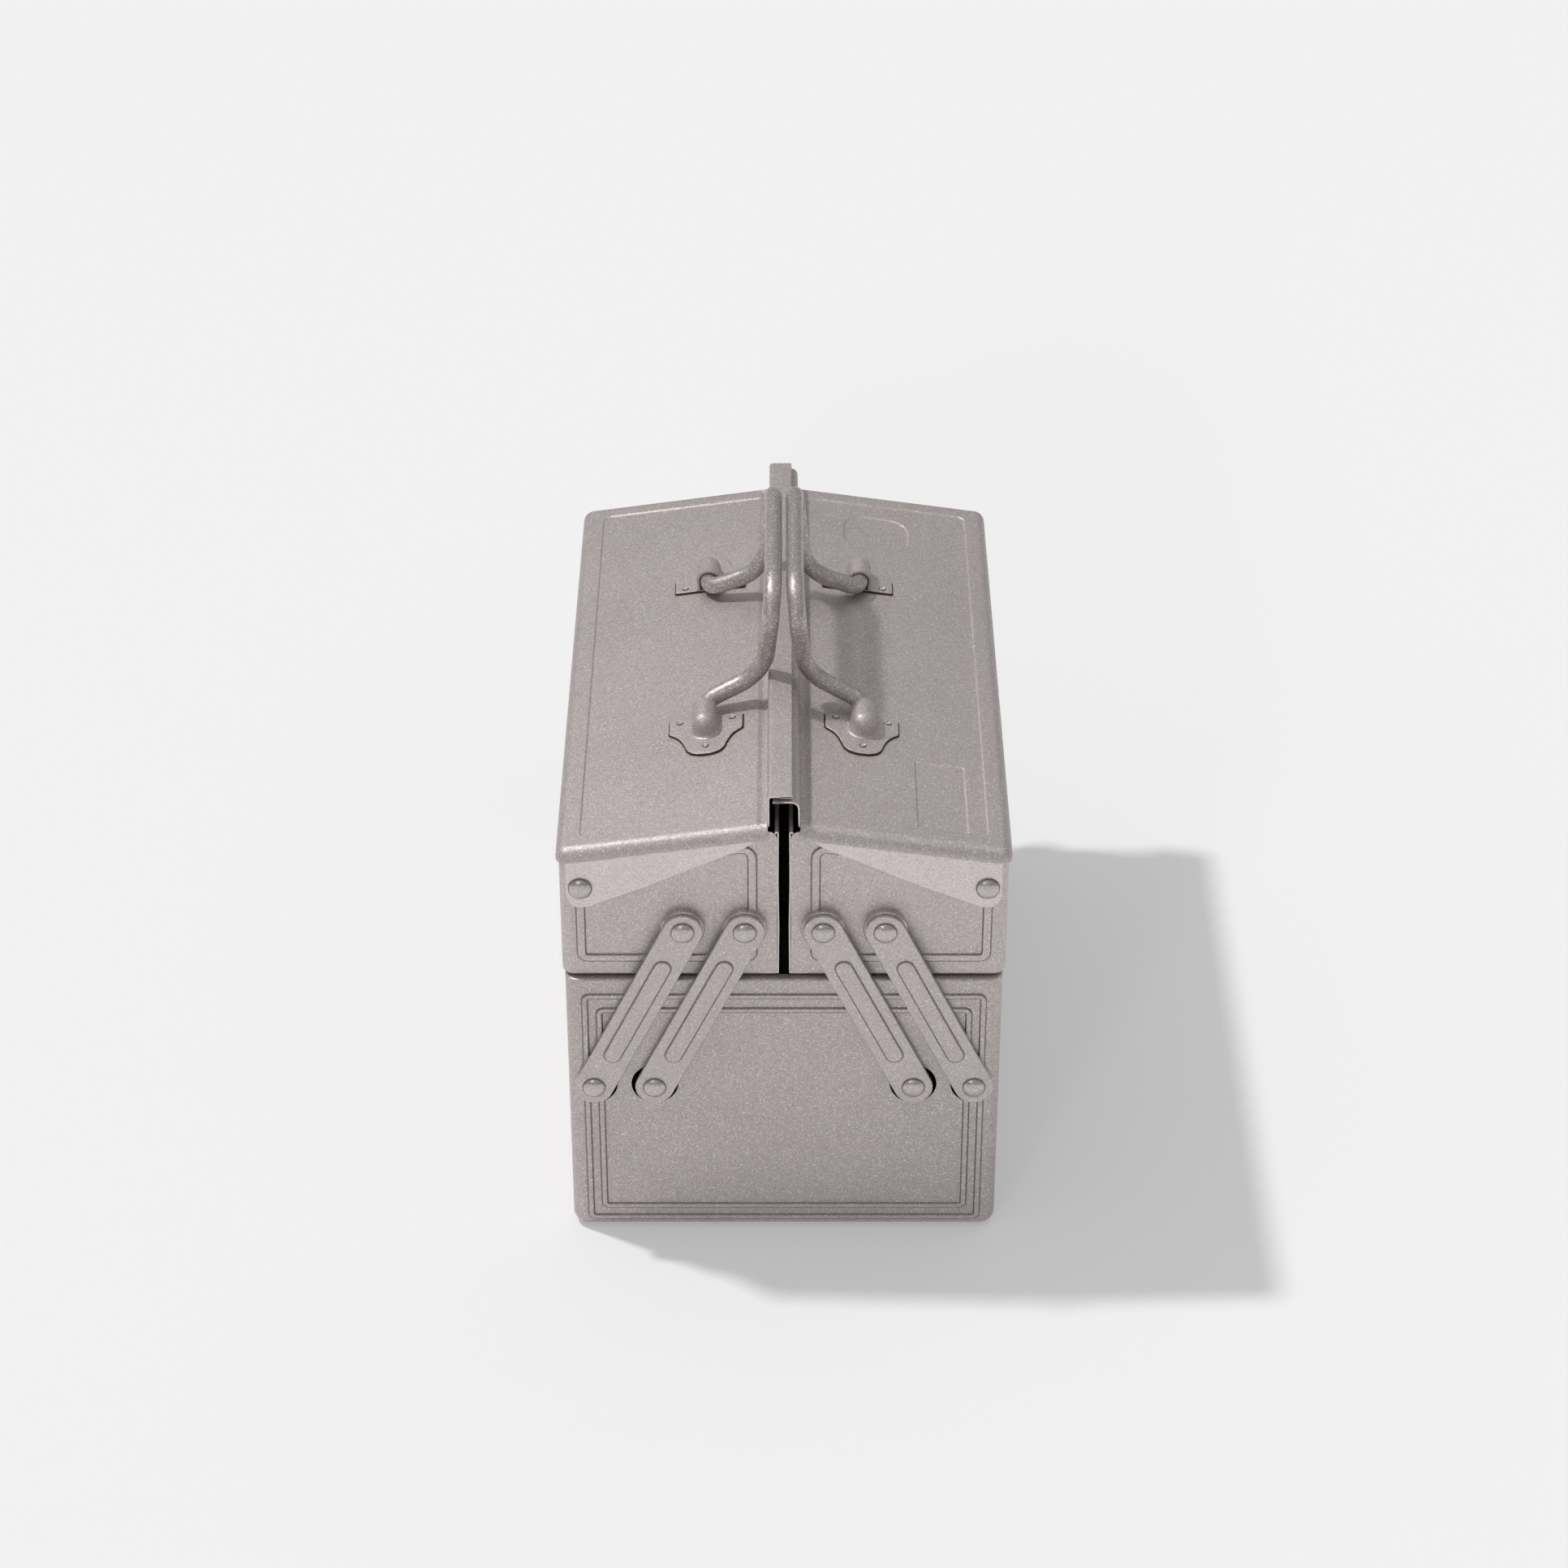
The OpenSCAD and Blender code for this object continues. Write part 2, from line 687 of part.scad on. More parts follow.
// Plan of a bracket: v runs from its straight edge to its rounded nose
module bracket_outline() {
    nose_v = bracket_length - bracket_nose_radius;
    translate([-bracket_half_width, 0]) square([2 * bracket_half_width, bracket_wide_length]);
    translate([0, nose_v]) circle(r = bracket_nose_radius, $fn = round_steps);
    polygon([
        [-bracket_half_width + outline_step, bracket_wide_length],
        [bracket_half_width - outline_step, bracket_wide_length],
        [bracket_nose_radius, nose_v],
        [-bracket_nose_radius, nose_v]
    ]);
}

// Straight tunnel with a domed end round the leg axis, open below to the lid
module tunnel(radius, length, open_by) {
    reach = length + open_by + 2 * radius;
    intersection() {
        union() {
            translate([0, length, leg_height]) rotate([90, 0, 0])
                cylinder(h = length + open_by, r = radius, $fn = round_steps);
            translate([-radius, -open_by, -open_by])
                cube([2 * radius, length + open_by, leg_height + open_by]);
            translate([0, length, leg_height]) sphere(r = radius, $fn = round_steps);
            translate([0, length, -open_by])
                cylinder(h = leg_height + open_by, r = radius, $fn = round_steps);
        }
        translate([-2 * radius, -open_by, -open_by]) cube([4 * radius, reach, 4 * radius]);
    }
}

module handle_bracket() {
    weld_v = [weld_inset, weld_inset, bracket_length - nose_weld_inset];
    weld_u = [-bracket_half_width + weld_inset, bracket_half_width - weld_inset, 0];
    hold = leg_hold + leg_clearance;
    color(paint)
    lid_frame() translate([handle_u, bracket_edge_y, 0])
    difference() {
        union() {
            linear_extrude(height = bracket_thickness) bracket_outline();
            tunnel(tunnel_outer, hold, 0);
        }
        tunnel(tunnel_inner, hold, cut);
        for (i = [0:2])
            translate([weld_u[i], weld_v[i], bracket_thickness - weld_depth])
                cylinder(h = cut, r = weld_radius, $fn = round_steps);
    }
}

module placed_bracket(side, end) {
    on_side(side) on_end(-end) handle_bracket();
}

module left_front_handle_bracket() { placed_bracket(left, front); }
module left_rear_handle_bracket() { placed_bracket(left, rear); }
module right_front_handle_bracket() { placed_bracket(right, front); }
module right_rear_handle_bracket() { placed_bracket(right, rear); }

// ---------- handles ----------

// Rings round the corner b, each as its centre, its direction and its first spoke
function bend_rings(a, b, c, radius, spoke) =
    let(
        start = unit(b - a),
        leave = unit(c - b),
        turn = acos(start * leave),
        side = unit(leave - start * (start * leave)),
        over = cross(start, side),
        centre = b - start * radius * tan(turn / 2) + side * radius
    )
    [for (i = [0:bend_steps])
        let(
            t = turn * i / bend_steps,
            inward = side * cos(t) - start * sin(t)
        )
        [centre - radius * inward, start * cos(t) + side * sin(t),
            inward * (spoke * side) + over * (spoke * over)]
    ];

// Rings of all bends of a path, from its corner i on, without the two ends of the path
function path_rings(path, radii, spoke, i) =
    i >= len(path) - 1 ? [] :
    let(rings = bend_rings(path[i - 1], path[i], path[i + 1], radii[i - 1], spoke))
    concat(rings, path_rings(path, radii, rings[bend_steps][2], i + 1));

// Bent rod through the corners of a path; each end stands a little inside a round leg
module bent_rod(path, radii) {
    spoke = [1, 0, 0];
    last = len(path) - 1;
    lead_in = unit(path[1] - path[0]);
    lead_out = unit(path[last] - path[last - 1]);
    bends = path_rings(path, radii, spoke, 1);
    final = bends[len(bends) - 1];
    rings = concat(
        [[bends[0][0] - lead_in * leg_overlap, lead_in, spoke]],
        bends,
        [[final[0] + lead_out * leg_overlap, lead_out, final[2]]]
    );
    points = [for (ring = rings) for (k = [0:rod_sides - 1])
        let(a = 360 * k / rod_sides)
        ring[0] + bend_radius_inside * (ring[2] * cos(a) + cross(ring[1], ring[2]) * sin(a))];
    quads = [for (j = [0:len(rings) - 2]) for (k = [0:rod_sides - 1])
        let(n = (k + 1) % rod_sides, low = j * rod_sides, high = low + rod_sides)
        [low + k, low + n, high + n, high + k]];
    sides = [for (q = quads) for (h = [0, 1]) h == 0 ? [q[2], q[1], q[0]] : [q[3], q[2], q[0]]];
    cap_start = [for (k = [0:rod_sides - 1]) k];
    cap_end = [for (k = [rod_sides - 1:-1:0]) (len(rings) - 1) * rod_sides + k];
    polyhedron(points, concat([cap_start], sides, [cap_end]));
}

// Bail of bent rod: two legs in their brackets, two arms with a knee, and a straight grip
module handle() {
    x = handle_pivot_x;
    z = handle_pivot_z;
    tip_y = bracket_edge_y + leg_hold;
    turn_in = [knee_x - x, knee_step, knee_z - z];
    bend_start = leg_bend_y + leg_bend_radius * tan(acos(unit(turn_in)[1]) / 2);
    half = [
        [x, -tip_y, z],
        [x, -leg_bend_y, z],
        [knee_x, -knee_y, knee_z],
        [grip_x, -grip_end_y, z + grip_rise]
    ];
    path = concat(half, [for (i = [3:-1:0]) [half[i][0], -half[i][1], half[i][2]]]);
    radii = [leg_bend_radius, knee_bend_radius, grip_bend_radius,
        grip_bend_radius, knee_bend_radius, leg_bend_radius];
    color(paint_shade) {
        bent_rod(path, radii);
        for (end = [front, rear])
            translate([x, end * bend_start, z]) rotate([-end * 90, 0, 0])
                cylinder(h = tip_y - bend_start, r = rod_radius, $fn = round_steps);
    }
}

module left_handle() { on_side(left) handle(); }
module right_handle() { on_side(right) handle(); }

base_shell();
base_link_rivets();
base_link_spacers();
left_front_outer_link();
left_front_inner_link();
left_rear_outer_link();
left_rear_inner_link();
right_front_outer_link();
right_front_inner_link();
right_rear_outer_link();
right_rear_inner_link();
left_tray_shell();
left_tray_inner_wall();
left_tray_link_rivets();
left_tray_spacers();
left_lid_rivets();
right_tray_shell();
right_tray_inner_wall();
right_tray_link_rivets();
right_tray_spacers();
right_lid_rivets();
left_lid();
left_front_handle_bracket();
left_rear_handle_bracket();
left_handle();
right_lid();
right_front_handle_bracket();
right_rear_handle_bracket();
right_handle();
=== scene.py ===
"""Looks of a steel cantilever tool box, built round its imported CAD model."""

import math

import bmesh
import bpy
from mathutils import Matrix, Vector


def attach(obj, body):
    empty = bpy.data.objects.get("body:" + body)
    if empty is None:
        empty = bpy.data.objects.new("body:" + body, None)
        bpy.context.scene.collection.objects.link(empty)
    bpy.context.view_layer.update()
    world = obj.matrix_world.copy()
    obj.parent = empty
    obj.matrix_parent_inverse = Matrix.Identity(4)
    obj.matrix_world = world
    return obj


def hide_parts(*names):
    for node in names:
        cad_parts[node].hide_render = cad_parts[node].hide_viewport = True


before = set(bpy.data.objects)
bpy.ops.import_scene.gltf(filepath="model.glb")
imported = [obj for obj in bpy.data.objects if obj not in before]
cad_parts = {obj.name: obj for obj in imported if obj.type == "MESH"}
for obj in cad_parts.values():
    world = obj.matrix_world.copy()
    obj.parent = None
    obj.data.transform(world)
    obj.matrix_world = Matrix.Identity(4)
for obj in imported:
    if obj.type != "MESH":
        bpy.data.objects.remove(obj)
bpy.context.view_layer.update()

MM = 0.001
LEFT, RIGHT = SIDES = (-1, 1)
FRONT, REAR = ENDS = (-1, 1)
SIDE_NAME = {LEFT: "left", RIGHT: "right"}
END_NAME = {FRONT: "front", REAR: "rear"}

# Sizes in mm, as in the CAD model: X across the box and Y along it, both from its middle, and Z up
# from the floor. So _X and _Y are half of a width and of a length.
SHEET = 0.8
BASE_X, BASE_Y, BASE_TOP = 109.0, 172.0, 159.0
BASE_CORNER, BASE_LOW = 7.5, 7.0  # radii of the upright edges and of the edges round the floor
RIM = 5.0
TRAY_Z, TRAY_X0, TRAY_X1, TRAY_Y = 160.0, 3.4, 110.3, 169.2
TRAY_CORNER, TRAY_LOW = 6.5, 1.8
WALL_X = 2.2
LID_SLOPE = math.radians(8.2)
RIDGE_X, ROOT_Z = 8.2, 248.8  # where the slope of a lid starts
LID_RUN, LID_Y, LID_FLANGE = 104.3 / math.cos(LID_SLOPE), 170.7, 6.5
LID_ROLL, LID_BORDER, LID_PRESS = 6.0, 6.0, 0.74  # rolled edge; border and depth of the field
LOWER_Z, OUTER_X, INNER_X = 94.0, 95.9, 65.3  # lower pivots of the links
UPPER_Z, LINK_SHIFT = 189.9, 46.0  # upper pivots, and how much further in they are
LINK_LENGTH = math.hypot(LINK_SHIFT, UPPER_Z - LOWER_Z)
LINK_LEAN = math.atan2(LINK_SHIFT, UPPER_Z - LOWER_Z)
LINK_BACK, LINK_THICK, LINK_WIDTH = 173.2, 2.0, 19.6
LID_RIVET = (99.8, 213.3)
PLAY = 0.15  # gap along a rivet
HANDLE_X, HANDLE_Z = 40.2, 249.746
ROD = 4.5

DARK, BRIGHT = 1, 2  # indices of a piece's second paint, dark for painted shade, and of its third, light for painted light
NEAR = 0.01  # points as near as this are taken for one
NOT_HALF = 0.001  # how much a round end's radius stays under half of the width
STAND = Matrix.Rotation(math.pi / 2, 4, "X")


# ---------------------------------------------------------------- mesh helpers


def closed_face(bm, corners):
    """One flat face through the corners."""
    face = bm.faces.new([bm.verts.new(Vector(c)) for c in corners])
    face.normal_update()
    return face


def chain(bm, points):
    """Open line through the points."""
    verts = [bm.verts.new(p) for p in points]
    return verts, [bm.edges.new(pair) for pair in zip(verts, verts[1:])]


def box(x, y, z0, z1):
    """Box about the Z axis, from half its width and length and the heights of floor and top."""
    bm = bmesh.new()
    bmesh.ops.create_cube(bm, size=1)
    bmesh.ops.scale(bm, vec=(2 * x, 2 * y, z1 - z0), verts=bm.verts[:])
    bmesh.ops.translate(bm, vec=(0, 0, (z0 + z1) / 2), verts=bm.verts[:])
    return bm


def edges_where(bm, test):
    return [e for e in bm.edges if test(e.verts[0].co, e.verts[1].co)]


def is_upright(a, b):
    return abs(a.z - b.z) > 1


def edges_at(verts):
    return list(dict.fromkeys(e for v in verts if v.is_valid for e in v.link_edges))


def bevel(bm, geom, radius, segments, affect="EDGES"):
    bmesh.ops.bevel(
        bm, geom=geom, offset=radius, affect=affect, segments=segments, profile=0.5,
        offset_type="OFFSET", material=-1, clamp_overlap=affect == "EDGES",
    )


def round_corners(bm, face, radii, segments=5):
    """Rounds the corners of the only face, each by its own radius, and returns the face again."""
    todo = [(v, r) for v, r in zip(list(face.verts), radii) if r > 0]
    for vert, radius in todo:
        bevel(bm, [vert], radius, segments, "VERTICES")
    bm.faces.ensure_lookup_table()
    bm.faces[0].normal_update()
    return bm.faces[0]


def pressed(bm, face, steps):
    """Insets a face step by step: each step goes inward by its first and up by its second size."""
    for inward, up in steps:
        bmesh.ops.inset_region(
            bm, faces=[face], thickness=inward, depth=up, use_even_offset=True, use_boundary=True,
        )


def rise(steps):
    return sum(up for _, up in steps)


def face_outward(bm):
    bmesh.ops.recalc_face_normals(bm, faces=bm.faces[:])


def turn_over(bm):
    bmesh.ops.reverse_faces(bm, faces=bm.faces[:])


def thicken(bm, thickness=SHEET):
    bmesh.ops.solidify(bm, geom=bm.faces[:], thickness=thickness)


def raise_slab(bm, face, height):
    """Gives a flat face thickness along its normal and returns the new top."""
    face.normal_update()
    normal = face.normal.copy()
    made = bmesh.ops.extrude_face_region(bm, geom=[face], use_keep_orig=True)["geom"]
    top = next(g for g in made if isinstance(g, bmesh.types.BMFace))
    bmesh.ops.translate(bm, verts=list(top.verts), vec=normal * height)
    face_outward(bm)
    return top


def extrude_edges(bm, edges):
    """Extrudes edges on the spot; returns the new points and the new edges that join only them."""
    made = bmesh.ops.extrude_edge_only(bm, edges=edges)["geom"]
    verts = [g for g in made if isinstance(g, bmesh.types.BMVert)]
    new_edges = [g for g in made if isinstance(g, bmesh.types.BMEdge)]
    return verts, [e for e in new_edges if all(v in verts for v in e.verts)]


def sweep_along(bm, edges, length):
    """Sweeps edges along Y."""
    bmesh.ops.translate(bm, vec=(0, length, 0), verts=extrude_edges(bm, edges)[0])


def spin(bm, geom, centre, axis, angle, steps, merge=False):
    """Sweeps points and edges round an axis and returns the last ones."""
    return bmesh.ops.spin(
        bm, geom=geom, cent=centre, axis=axis, dvec=(0, 0, 0), angle=angle, steps=steps,
        use_merge=merge, use_normal_flip=False, use_duplicate=False,
    )["geom_last"]


def lathe(bm, profile, steps):
    """Turns a profile of (radius, height) pairs about the Z axis."""
    verts, edges = chain(bm, [(r, 0, z) for r, z in profile])
    spin(bm, verts + edges, (0, 0, 0), (0, 0, 1), 2 * math.pi, steps, merge=True)
    bmesh.ops.remove_doubles(bm, verts=bm.verts[:], dist=0.0005)
    face_outward(bm)


def slice_at(bm, point, normal, drop_outer=False):
    """Cuts all faces along a plane; drop_outer deletes the side to which its normal points."""
    bmesh.ops.bisect_plane(
        bm, geom=bm.verts[:] + bm.edges[:] + bm.faces[:], dist=0.0001,
        plane_co=point, plane_no=normal, clear_outer=drop_outer,
    )


def place(bm, matrix):
    bmesh.ops.transform(bm, matrix=matrix, verts=bm.verts[:])


def mirror_to(bm, side, end=FRONT):
    """Turns what is drawn for the right front into the part on another side or end."""
    place(bm, Matrix.Diagonal((side, -end, 1, 1)))
    if (side == LEFT) != (end == REAR):
        turn_over(bm)


def join_in(bm, other):
    """Adds another bmesh to this one."""
    spare = bpy.data.meshes.new("spare")
    other.to_mesh(spare)
    other.free()
    bm.from_mesh(spare)
    bpy.data.meshes.remove(spare)


def join_at_ends(bm, front):
    """Adds what is drawn for the front end at both ends."""
    rear = front.copy()
    mirror_to(rear, RIGHT, REAR)
    join_in(bm, front)
    join_in(bm, rear)


def show(name, data):
    """New object in the scene."""
    thing = bpy.data.objects.new(name, data)
    bpy.context.scene.collection.objects.link(thing)
    return thing


def finish_piece(bm, name, body, nodes, paints, angle):
    """Turns a bmesh in mm into a piece in metres that rides on its body, sharp from an angle on."""
    bmesh.ops.scale(bm, vec=(MM, MM, MM), verts=bm.verts[:])
    mesh = bpy.data.meshes.new(name)
    bm.to_mesh(mesh)
    bm.free()
    piece = show(name, mesh)
    for paint in paints:
        mesh.materials.append(paint)
    mesh.shade_smooth()
    mesh.set_sharp_from_angle(angle=math.radians(angle))
    even = piece.modifiers.new("flat faces shade flat", "WEIGHTED_NORMAL")
    even.mode = "FACE_AREA"
    even.keep_sharp = True
    if nodes:
        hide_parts(*nodes)
    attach(piece, body)


# ---------------------------------------------------------------- paint


class Graph:
    """Short way to fill a node tree."""

    def __init__(self, tree):
        self.nodes, self.links = tree.nodes, tree.links

    def feed(self, node, inputs):
        """Sets each input to a value, or links it to the socket given for it."""
        for key, value in inputs.items():
            if isinstance(value, bpy.types.NodeSocket):
                self.links.new(value, node.inputs[key])
            else:
                node.inputs[key].default_value = value

    def add(self, kind, inputs=None, **settings):
        node = self.nodes.new(kind)
        for key, value in settings.items():
            setattr(node, key, value)
        self.feed(node, inputs or {})
        return node

    def calculate(self, operation, first, second, **settings):
        node = self.add("ShaderNodeMath", {0: first, 1: second}, operation=operation, **settings)
        return node.outputs["Value"]

    def remap(self, value, inputs):
        return self.add("ShaderNodeMapRange", {"Value": value, **inputs}).outputs["Result"]

    def noise(self, where, scale, detail):
        inputs = {"Vector": where, "Scale": scale, "Detail": detail}
        return self.add("ShaderNodeTexNoise", inputs).outputs["Fac"]


FLAKE_SCALE, CLOUD_SCALE, PEEL_SCALE = 1800, 18, 900
FLAKE_BUMP = 0.0001


def flake_group():
    """Metallic flakes: bright and dark specks, faint clouds, and a bump like orange peel."""
    group = bpy.data.node_groups.new("flake paint", "ShaderNodeTree")
    for label, kind, value in (
        ("Paint", "NodeSocketColor", (0.4, 0.37, 0.36, 1)),
        ("Fleck", "NodeSocketColor", (0.8, 0.78, 0.75, 1)),
        ("Flecks", "NodeSocketFloat", 0.5),
        ("Roughness", "NodeSocketFloat", 0.4),
    ):
        item = group.interface.new_socket(label, in_out="INPUT", socket_type=kind)
        item.default_value = value
    for label, kind in (
        ("Color", "NodeSocketColor"),
        ("Roughness", "NodeSocketFloat"),
        ("Height", "NodeSocketFloat"),
    ):
        group.interface.new_socket(label, in_out="OUTPUT", socket_type=kind)

    graph = Graph(group)
    given = graph.add("NodeGroupInput").outputs
    where = graph.add("ShaderNodeTexCoord").outputs["Object"]
    flakes = graph.add("ShaderNodeTexVoronoi", {"Vector": where, "Scale": FLAKE_SCALE})
    of_flake = graph.add("ShaderNodeSeparateColor", {"Color": flakes.outputs["Color"]}).outputs
    clouds = graph.noise(where, CLOUD_SCALE, 3)
    peel = graph.noise(where, PEEL_SCALE, 2)

    bright = graph.remap(of_flake["Red"], {"From Min": 0.76, "From Max": 1.0})
    weight = graph.calculate("MULTIPLY", bright, given["Flecks"])
    dark = graph.remap(
        of_flake["Green"], {"From Min": 0.0, "From Max": 0.5, "To Min": 0.78, "To Max": 1.0})
    shade = graph.remap(clouds, {"From Min": 0.3, "From Max": 0.7, "To Min": 0.97, "To Max": 1.03})
    depth = graph.calculate("MULTIPLY", dark, shade)
    grey = graph.add("ShaderNodeCombineColor", {"Red": depth, "Green": depth, "Blue": depth})
    tone = graph.add(
        "ShaderNodeMix", data_type="RGBA", blend_type="MULTIPLY",
        inputs={"Factor": 1, "A": given["Paint"], "B": grey.outputs["Color"]})
    speckled = graph.add(
        "ShaderNodeMix", data_type="RGBA",
        inputs={"Factor": weight, "A": tone.outputs["Result"], "B": given["Fleck"]})
    uneven = graph.remap(of_flake["Blue"], {"To Min": 0.85, "To Max": 1.15})
    graph.add("NodeGroupOutput", {
        "Color": speckled.outputs["Result"],
        "Roughness": graph.calculate("MULTIPLY", given["Roughness"], uneven),
        "Height": graph.calculate("ADD", peel, of_flake["Green"]),
    })
    return group


FLAKES = flake_group()
FLECK = (0.95, 0.91, 0.87)


def paint_material(name, colour, flecks, roughness, metallic, bump, fleck=FLECK):
    material = bpy.data.materials.new(name)
    material.use_nodes = True
    graph = Graph(material.node_tree)
    flakes = graph.add("ShaderNodeGroup", node_tree=FLAKES, inputs={
        "Paint": (*colour, 1), "Fleck": (*fleck, 1), "Flecks": flecks, "Roughness": roughness,
    }).outputs
    relief = graph.add("ShaderNodeBump", {
        "Strength": bump, "Distance": FLAKE_BUMP, "Height": flakes["Height"],
    })
    graph.feed(graph.nodes["Principled BSDF"], {
        "Base Color": flakes["Color"],
        "Roughness": flakes["Roughness"],
        "Normal": relief.outputs["Normal"],
        "Metallic": metallic,
    })
    return material


# Colour, share of bright flecks, roughness, metallic and strength of the bump
BODY = (0.585, 0.523, 0.521)
PAINT = paint_material("silver body paint", BODY, 0.62, 0.57, 0.8, 0.6)
# Lighter copy of the body paint for the trays: painted light, as the trays carry the same paint as
# the base.
TRAY_PAINTED_LIGHT_SILVER = paint_material("silver tray paint with painted light", (0.650, 0.581, 0.579), 0.62, 0.57, 0.8, 0.6)
# Much lighter copy of the body paint: painted light on the lid flaps and painted highlights on the
# cut ends of sheets.
PAINTED_LIGHT_SILVER = paint_material("silver paint lightened as painted light", (0.80, 0.725, 0.718), 0.6, 0.5, 0.8, 0.5)
# Dark copy of the paint for the feet of beads and ribs and round the foot of rivet heads: painted
# shade.
CREASE_SHADE_PAINT = paint_material("silver paint darkened as painted crease shade", (0.30, 0.25, 0.25), 0.2, 0.55, 0.75, 0.5)
LINK_PAINT = paint_material("silver link paint", BODY, 0.5, 0.46, 0.8, 0.5)
RIVET_PAINT = paint_material("silver rivet paint", BODY, 0.35, 0.3, 0.85, 0.4)
ROD_PAINT = paint_material("silver rod paint", (0.520, 0.466, 0.459), 0.9, 0.47, 0.88, 0.85)
# Dark brown for the cut sides of flaps and bracket plates, the seam round each bracket and the foot
# of weld dimples: the brown of bare edges, with painted shade in the seams and round the dimples.
BARE_EDGE_AND_SHADE_PAINT = paint_material(
    "bare cut edge and painted shade", (0.11, 0.08, 0.045), 0.5, 0.5, 0.6, 0.4, fleck=(0.30, 0.23, 0.12))


# ---------------------------------------------------------------- raised beads

SHOULDER = [(0.15, 0.10), (0.28, 0.42), (0.30, 0.34), (0.26, 0.11), (0.22, 0.03)]
BEAD_SINK, BAND_SINK = 0.5, 0.4  # how far the foot of a bead and of a band lies inside its wall
# Faces tilted from the wall by this much, as dot products of normals, get the dark paint: painted
# shade in the creases.
CREASE_LOW, CREASE_HIGH, CREASE_HIGH_UNDER = 0.25, 0.86, 0.995


def strip_relief(width):
    """Steps up to a flat top and down again, for a raised strip of this width."""
    down = [(inward, -up) for inward, up in reversed(SHOULDER)]
    down[-1] = (down[-1][0], down[-1][1] - 0.05)
    flat = width - 2 * sum(inward for inward, _ in SHOULDER)
    return SHOULDER + [(flat, 0)] + down


def shade_creases(bm, normal):
    """Paints shade on the steep faces at the foot of a bead, and on its underside on the flatter
    ones too.
    """
    bm.normal_update()
    for face in bm.faces:
        high = CREASE_HIGH_UNDER if face.normal.z < -0.08 else CREASE_HIGH
        if CREASE_LOW < face.normal.dot(Vector(normal)) < high:
            face.material_index = DARK


def bead(corners, radii, steps, slab=BEAD_SINK):
    """Relief that follows an outline on a wall, on a slab that reaches out of the wall."""
    bm = bmesh.new()
    face = round_corners(bm, closed_face(bm, corners), radii)
    normal = face.normal.copy()
    pressed(bm, raise_slab(bm, face, slab), steps)
    shade_creases(bm, normal)
    return bm


def side_band(wall_x, y, low, high, radius, steps, slab):
    """Raised band on the right side wall, of length 2 y."""
    x = wall_x - BAND_SINK
    return bead([(x, -y, low), (x, y, low), (x, y, high), (x, -y, high)], [radius] * 4, steps, slab)


# ---------------------------------------------------------------- base

FLAT_X = BASE_X - BASE_CORNER - 0.3  # how far out the flat part of an end wall goes
POCKET_RADIUS, POCKET_DEPTH = 12.0, 1.6
POCKETS = [(side * x, LOWER_Z) for side in SIDES for x in (INNER_X, OUTER_X)]
POCKET_STEPS = [(11.6, 0.1), (11.35, 0.45), (11.3, 1.3), (11.0, POCKET_DEPTH)]  # radius and depth
RIM_EDGE, RIM_BEND = 1.2, 1.1

END_BEADS = [(101.3, 5.6, 150.7, 4.3), (94.2, 13.1, 142.2, 4.1)]  # half width, low, high, corner
END_BEAD_WIDTH = 3.7
BAND_Y, BAND_TOP, BAND_HEIGHT, BAND_PITCH, BAND_COUNT = BASE_Y - 21, 158.5, 29.5, 33.3, 4
BAND_CORNER, BAND_SLAB = 3.5, 0.42
BAND_STEPS = [(0.4, 0.3), (0.5, 0.35), (0.6, 0.1)]


def punch_wall(bm, face):
    """Presses the round pockets behind the link rivets into a flat end wall."""
    y = face.verts[0].co.y
    normal = face.normal.copy()
    edges = list(face.edges)
    bmesh.ops.delete(bm, geom=[face], context="FACES_ONLY")
    rings = []
    for x, z in POCKETS:
        made = bmesh.ops.create_circle(
            bm, cap_ends=False, radius=POCKET_RADIUS, segments=48,
            matrix=Matrix.Translation((x, y, z)) @ STAND,
        )["verts"]
        for vert in made:
            vert.co.x = max(-FLAT_X, min(FLAT_X, vert.co.x))
        bmesh.ops.remove_doubles(bm, verts=made, dist=NEAR)
        rings.append(edges_at(made))
    bmesh.ops.triangle_fill(
        bm, use_beauty=True, use_dissolve=False, normal=normal,
        edges=edges + [e for ring in rings for e in ring],
    )
    for ring, (x, z) in zip(rings, POCKETS):
        radius, depth = POCKET_RADIUS, 0.0
        for new_radius, new_depth in POCKET_STEPS:
            verts, ring = extrude_edges(bm, ring)
            ratio = new_radius / radius
            bmesh.ops.scale(
                bm, vec=(ratio, 1, ratio), verts=verts, space=Matrix.Translation((-x, 0, -z)))
            bmesh.ops.translate(bm, vec=-normal * (new_depth - depth), verts=verts)
            radius, depth = new_radius, new_depth
        bmesh.ops.contextual_create(bm, geom=ring)


def in_rim_corner(point):
    """The middle of each corner of the rim keeps its sharp edge."""
    return abs(point.x) < BASE_X - 1 and abs(point.y) < BASE_Y - 1


def base_body():
    """Deep pan with round edges, a rim turned inward and pockets in its end walls."""
    bm = box(BASE_X, BASE_Y, 0, BASE_TOP)
    bevel(bm, edges_where(bm, is_upright), BASE_CORNER, 7)
    bevel(bm, edges_where(bm, lambda a, b: max(a.z, b.z) < NEAR), BASE_LOW, 8)
    top = next(f for f in bm.faces if f.normal.z > 0.9)
    for width in (RIM_EDGE, RIM - RIM_EDGE):
        bmesh.ops.inset_region(bm, faces=[top], thickness=width, depth=0, use_even_offset=True)
    bmesh.ops.delete(bm, geom=[top], context="FACES")
    rim = edges_where(
        bm, lambda a, b: min(a.z, b.z) > BASE_TOP - NEAR and not in_rim_corner(a))
    outer = [e for e in rim if any(abs(f.normal.z) < 0.1 for f in e.link_faces)]
    bevel(bm, outer, RIM_BEND, 3)
    for end in ENDS:
        walls = [f for f in bm.faces if f.normal.y * end > 0.99]
        punch_wall(bm, max(walls, key=lambda f: f.calc_area()))
    face_outward(bm)
    thicken(bm)
    return bm


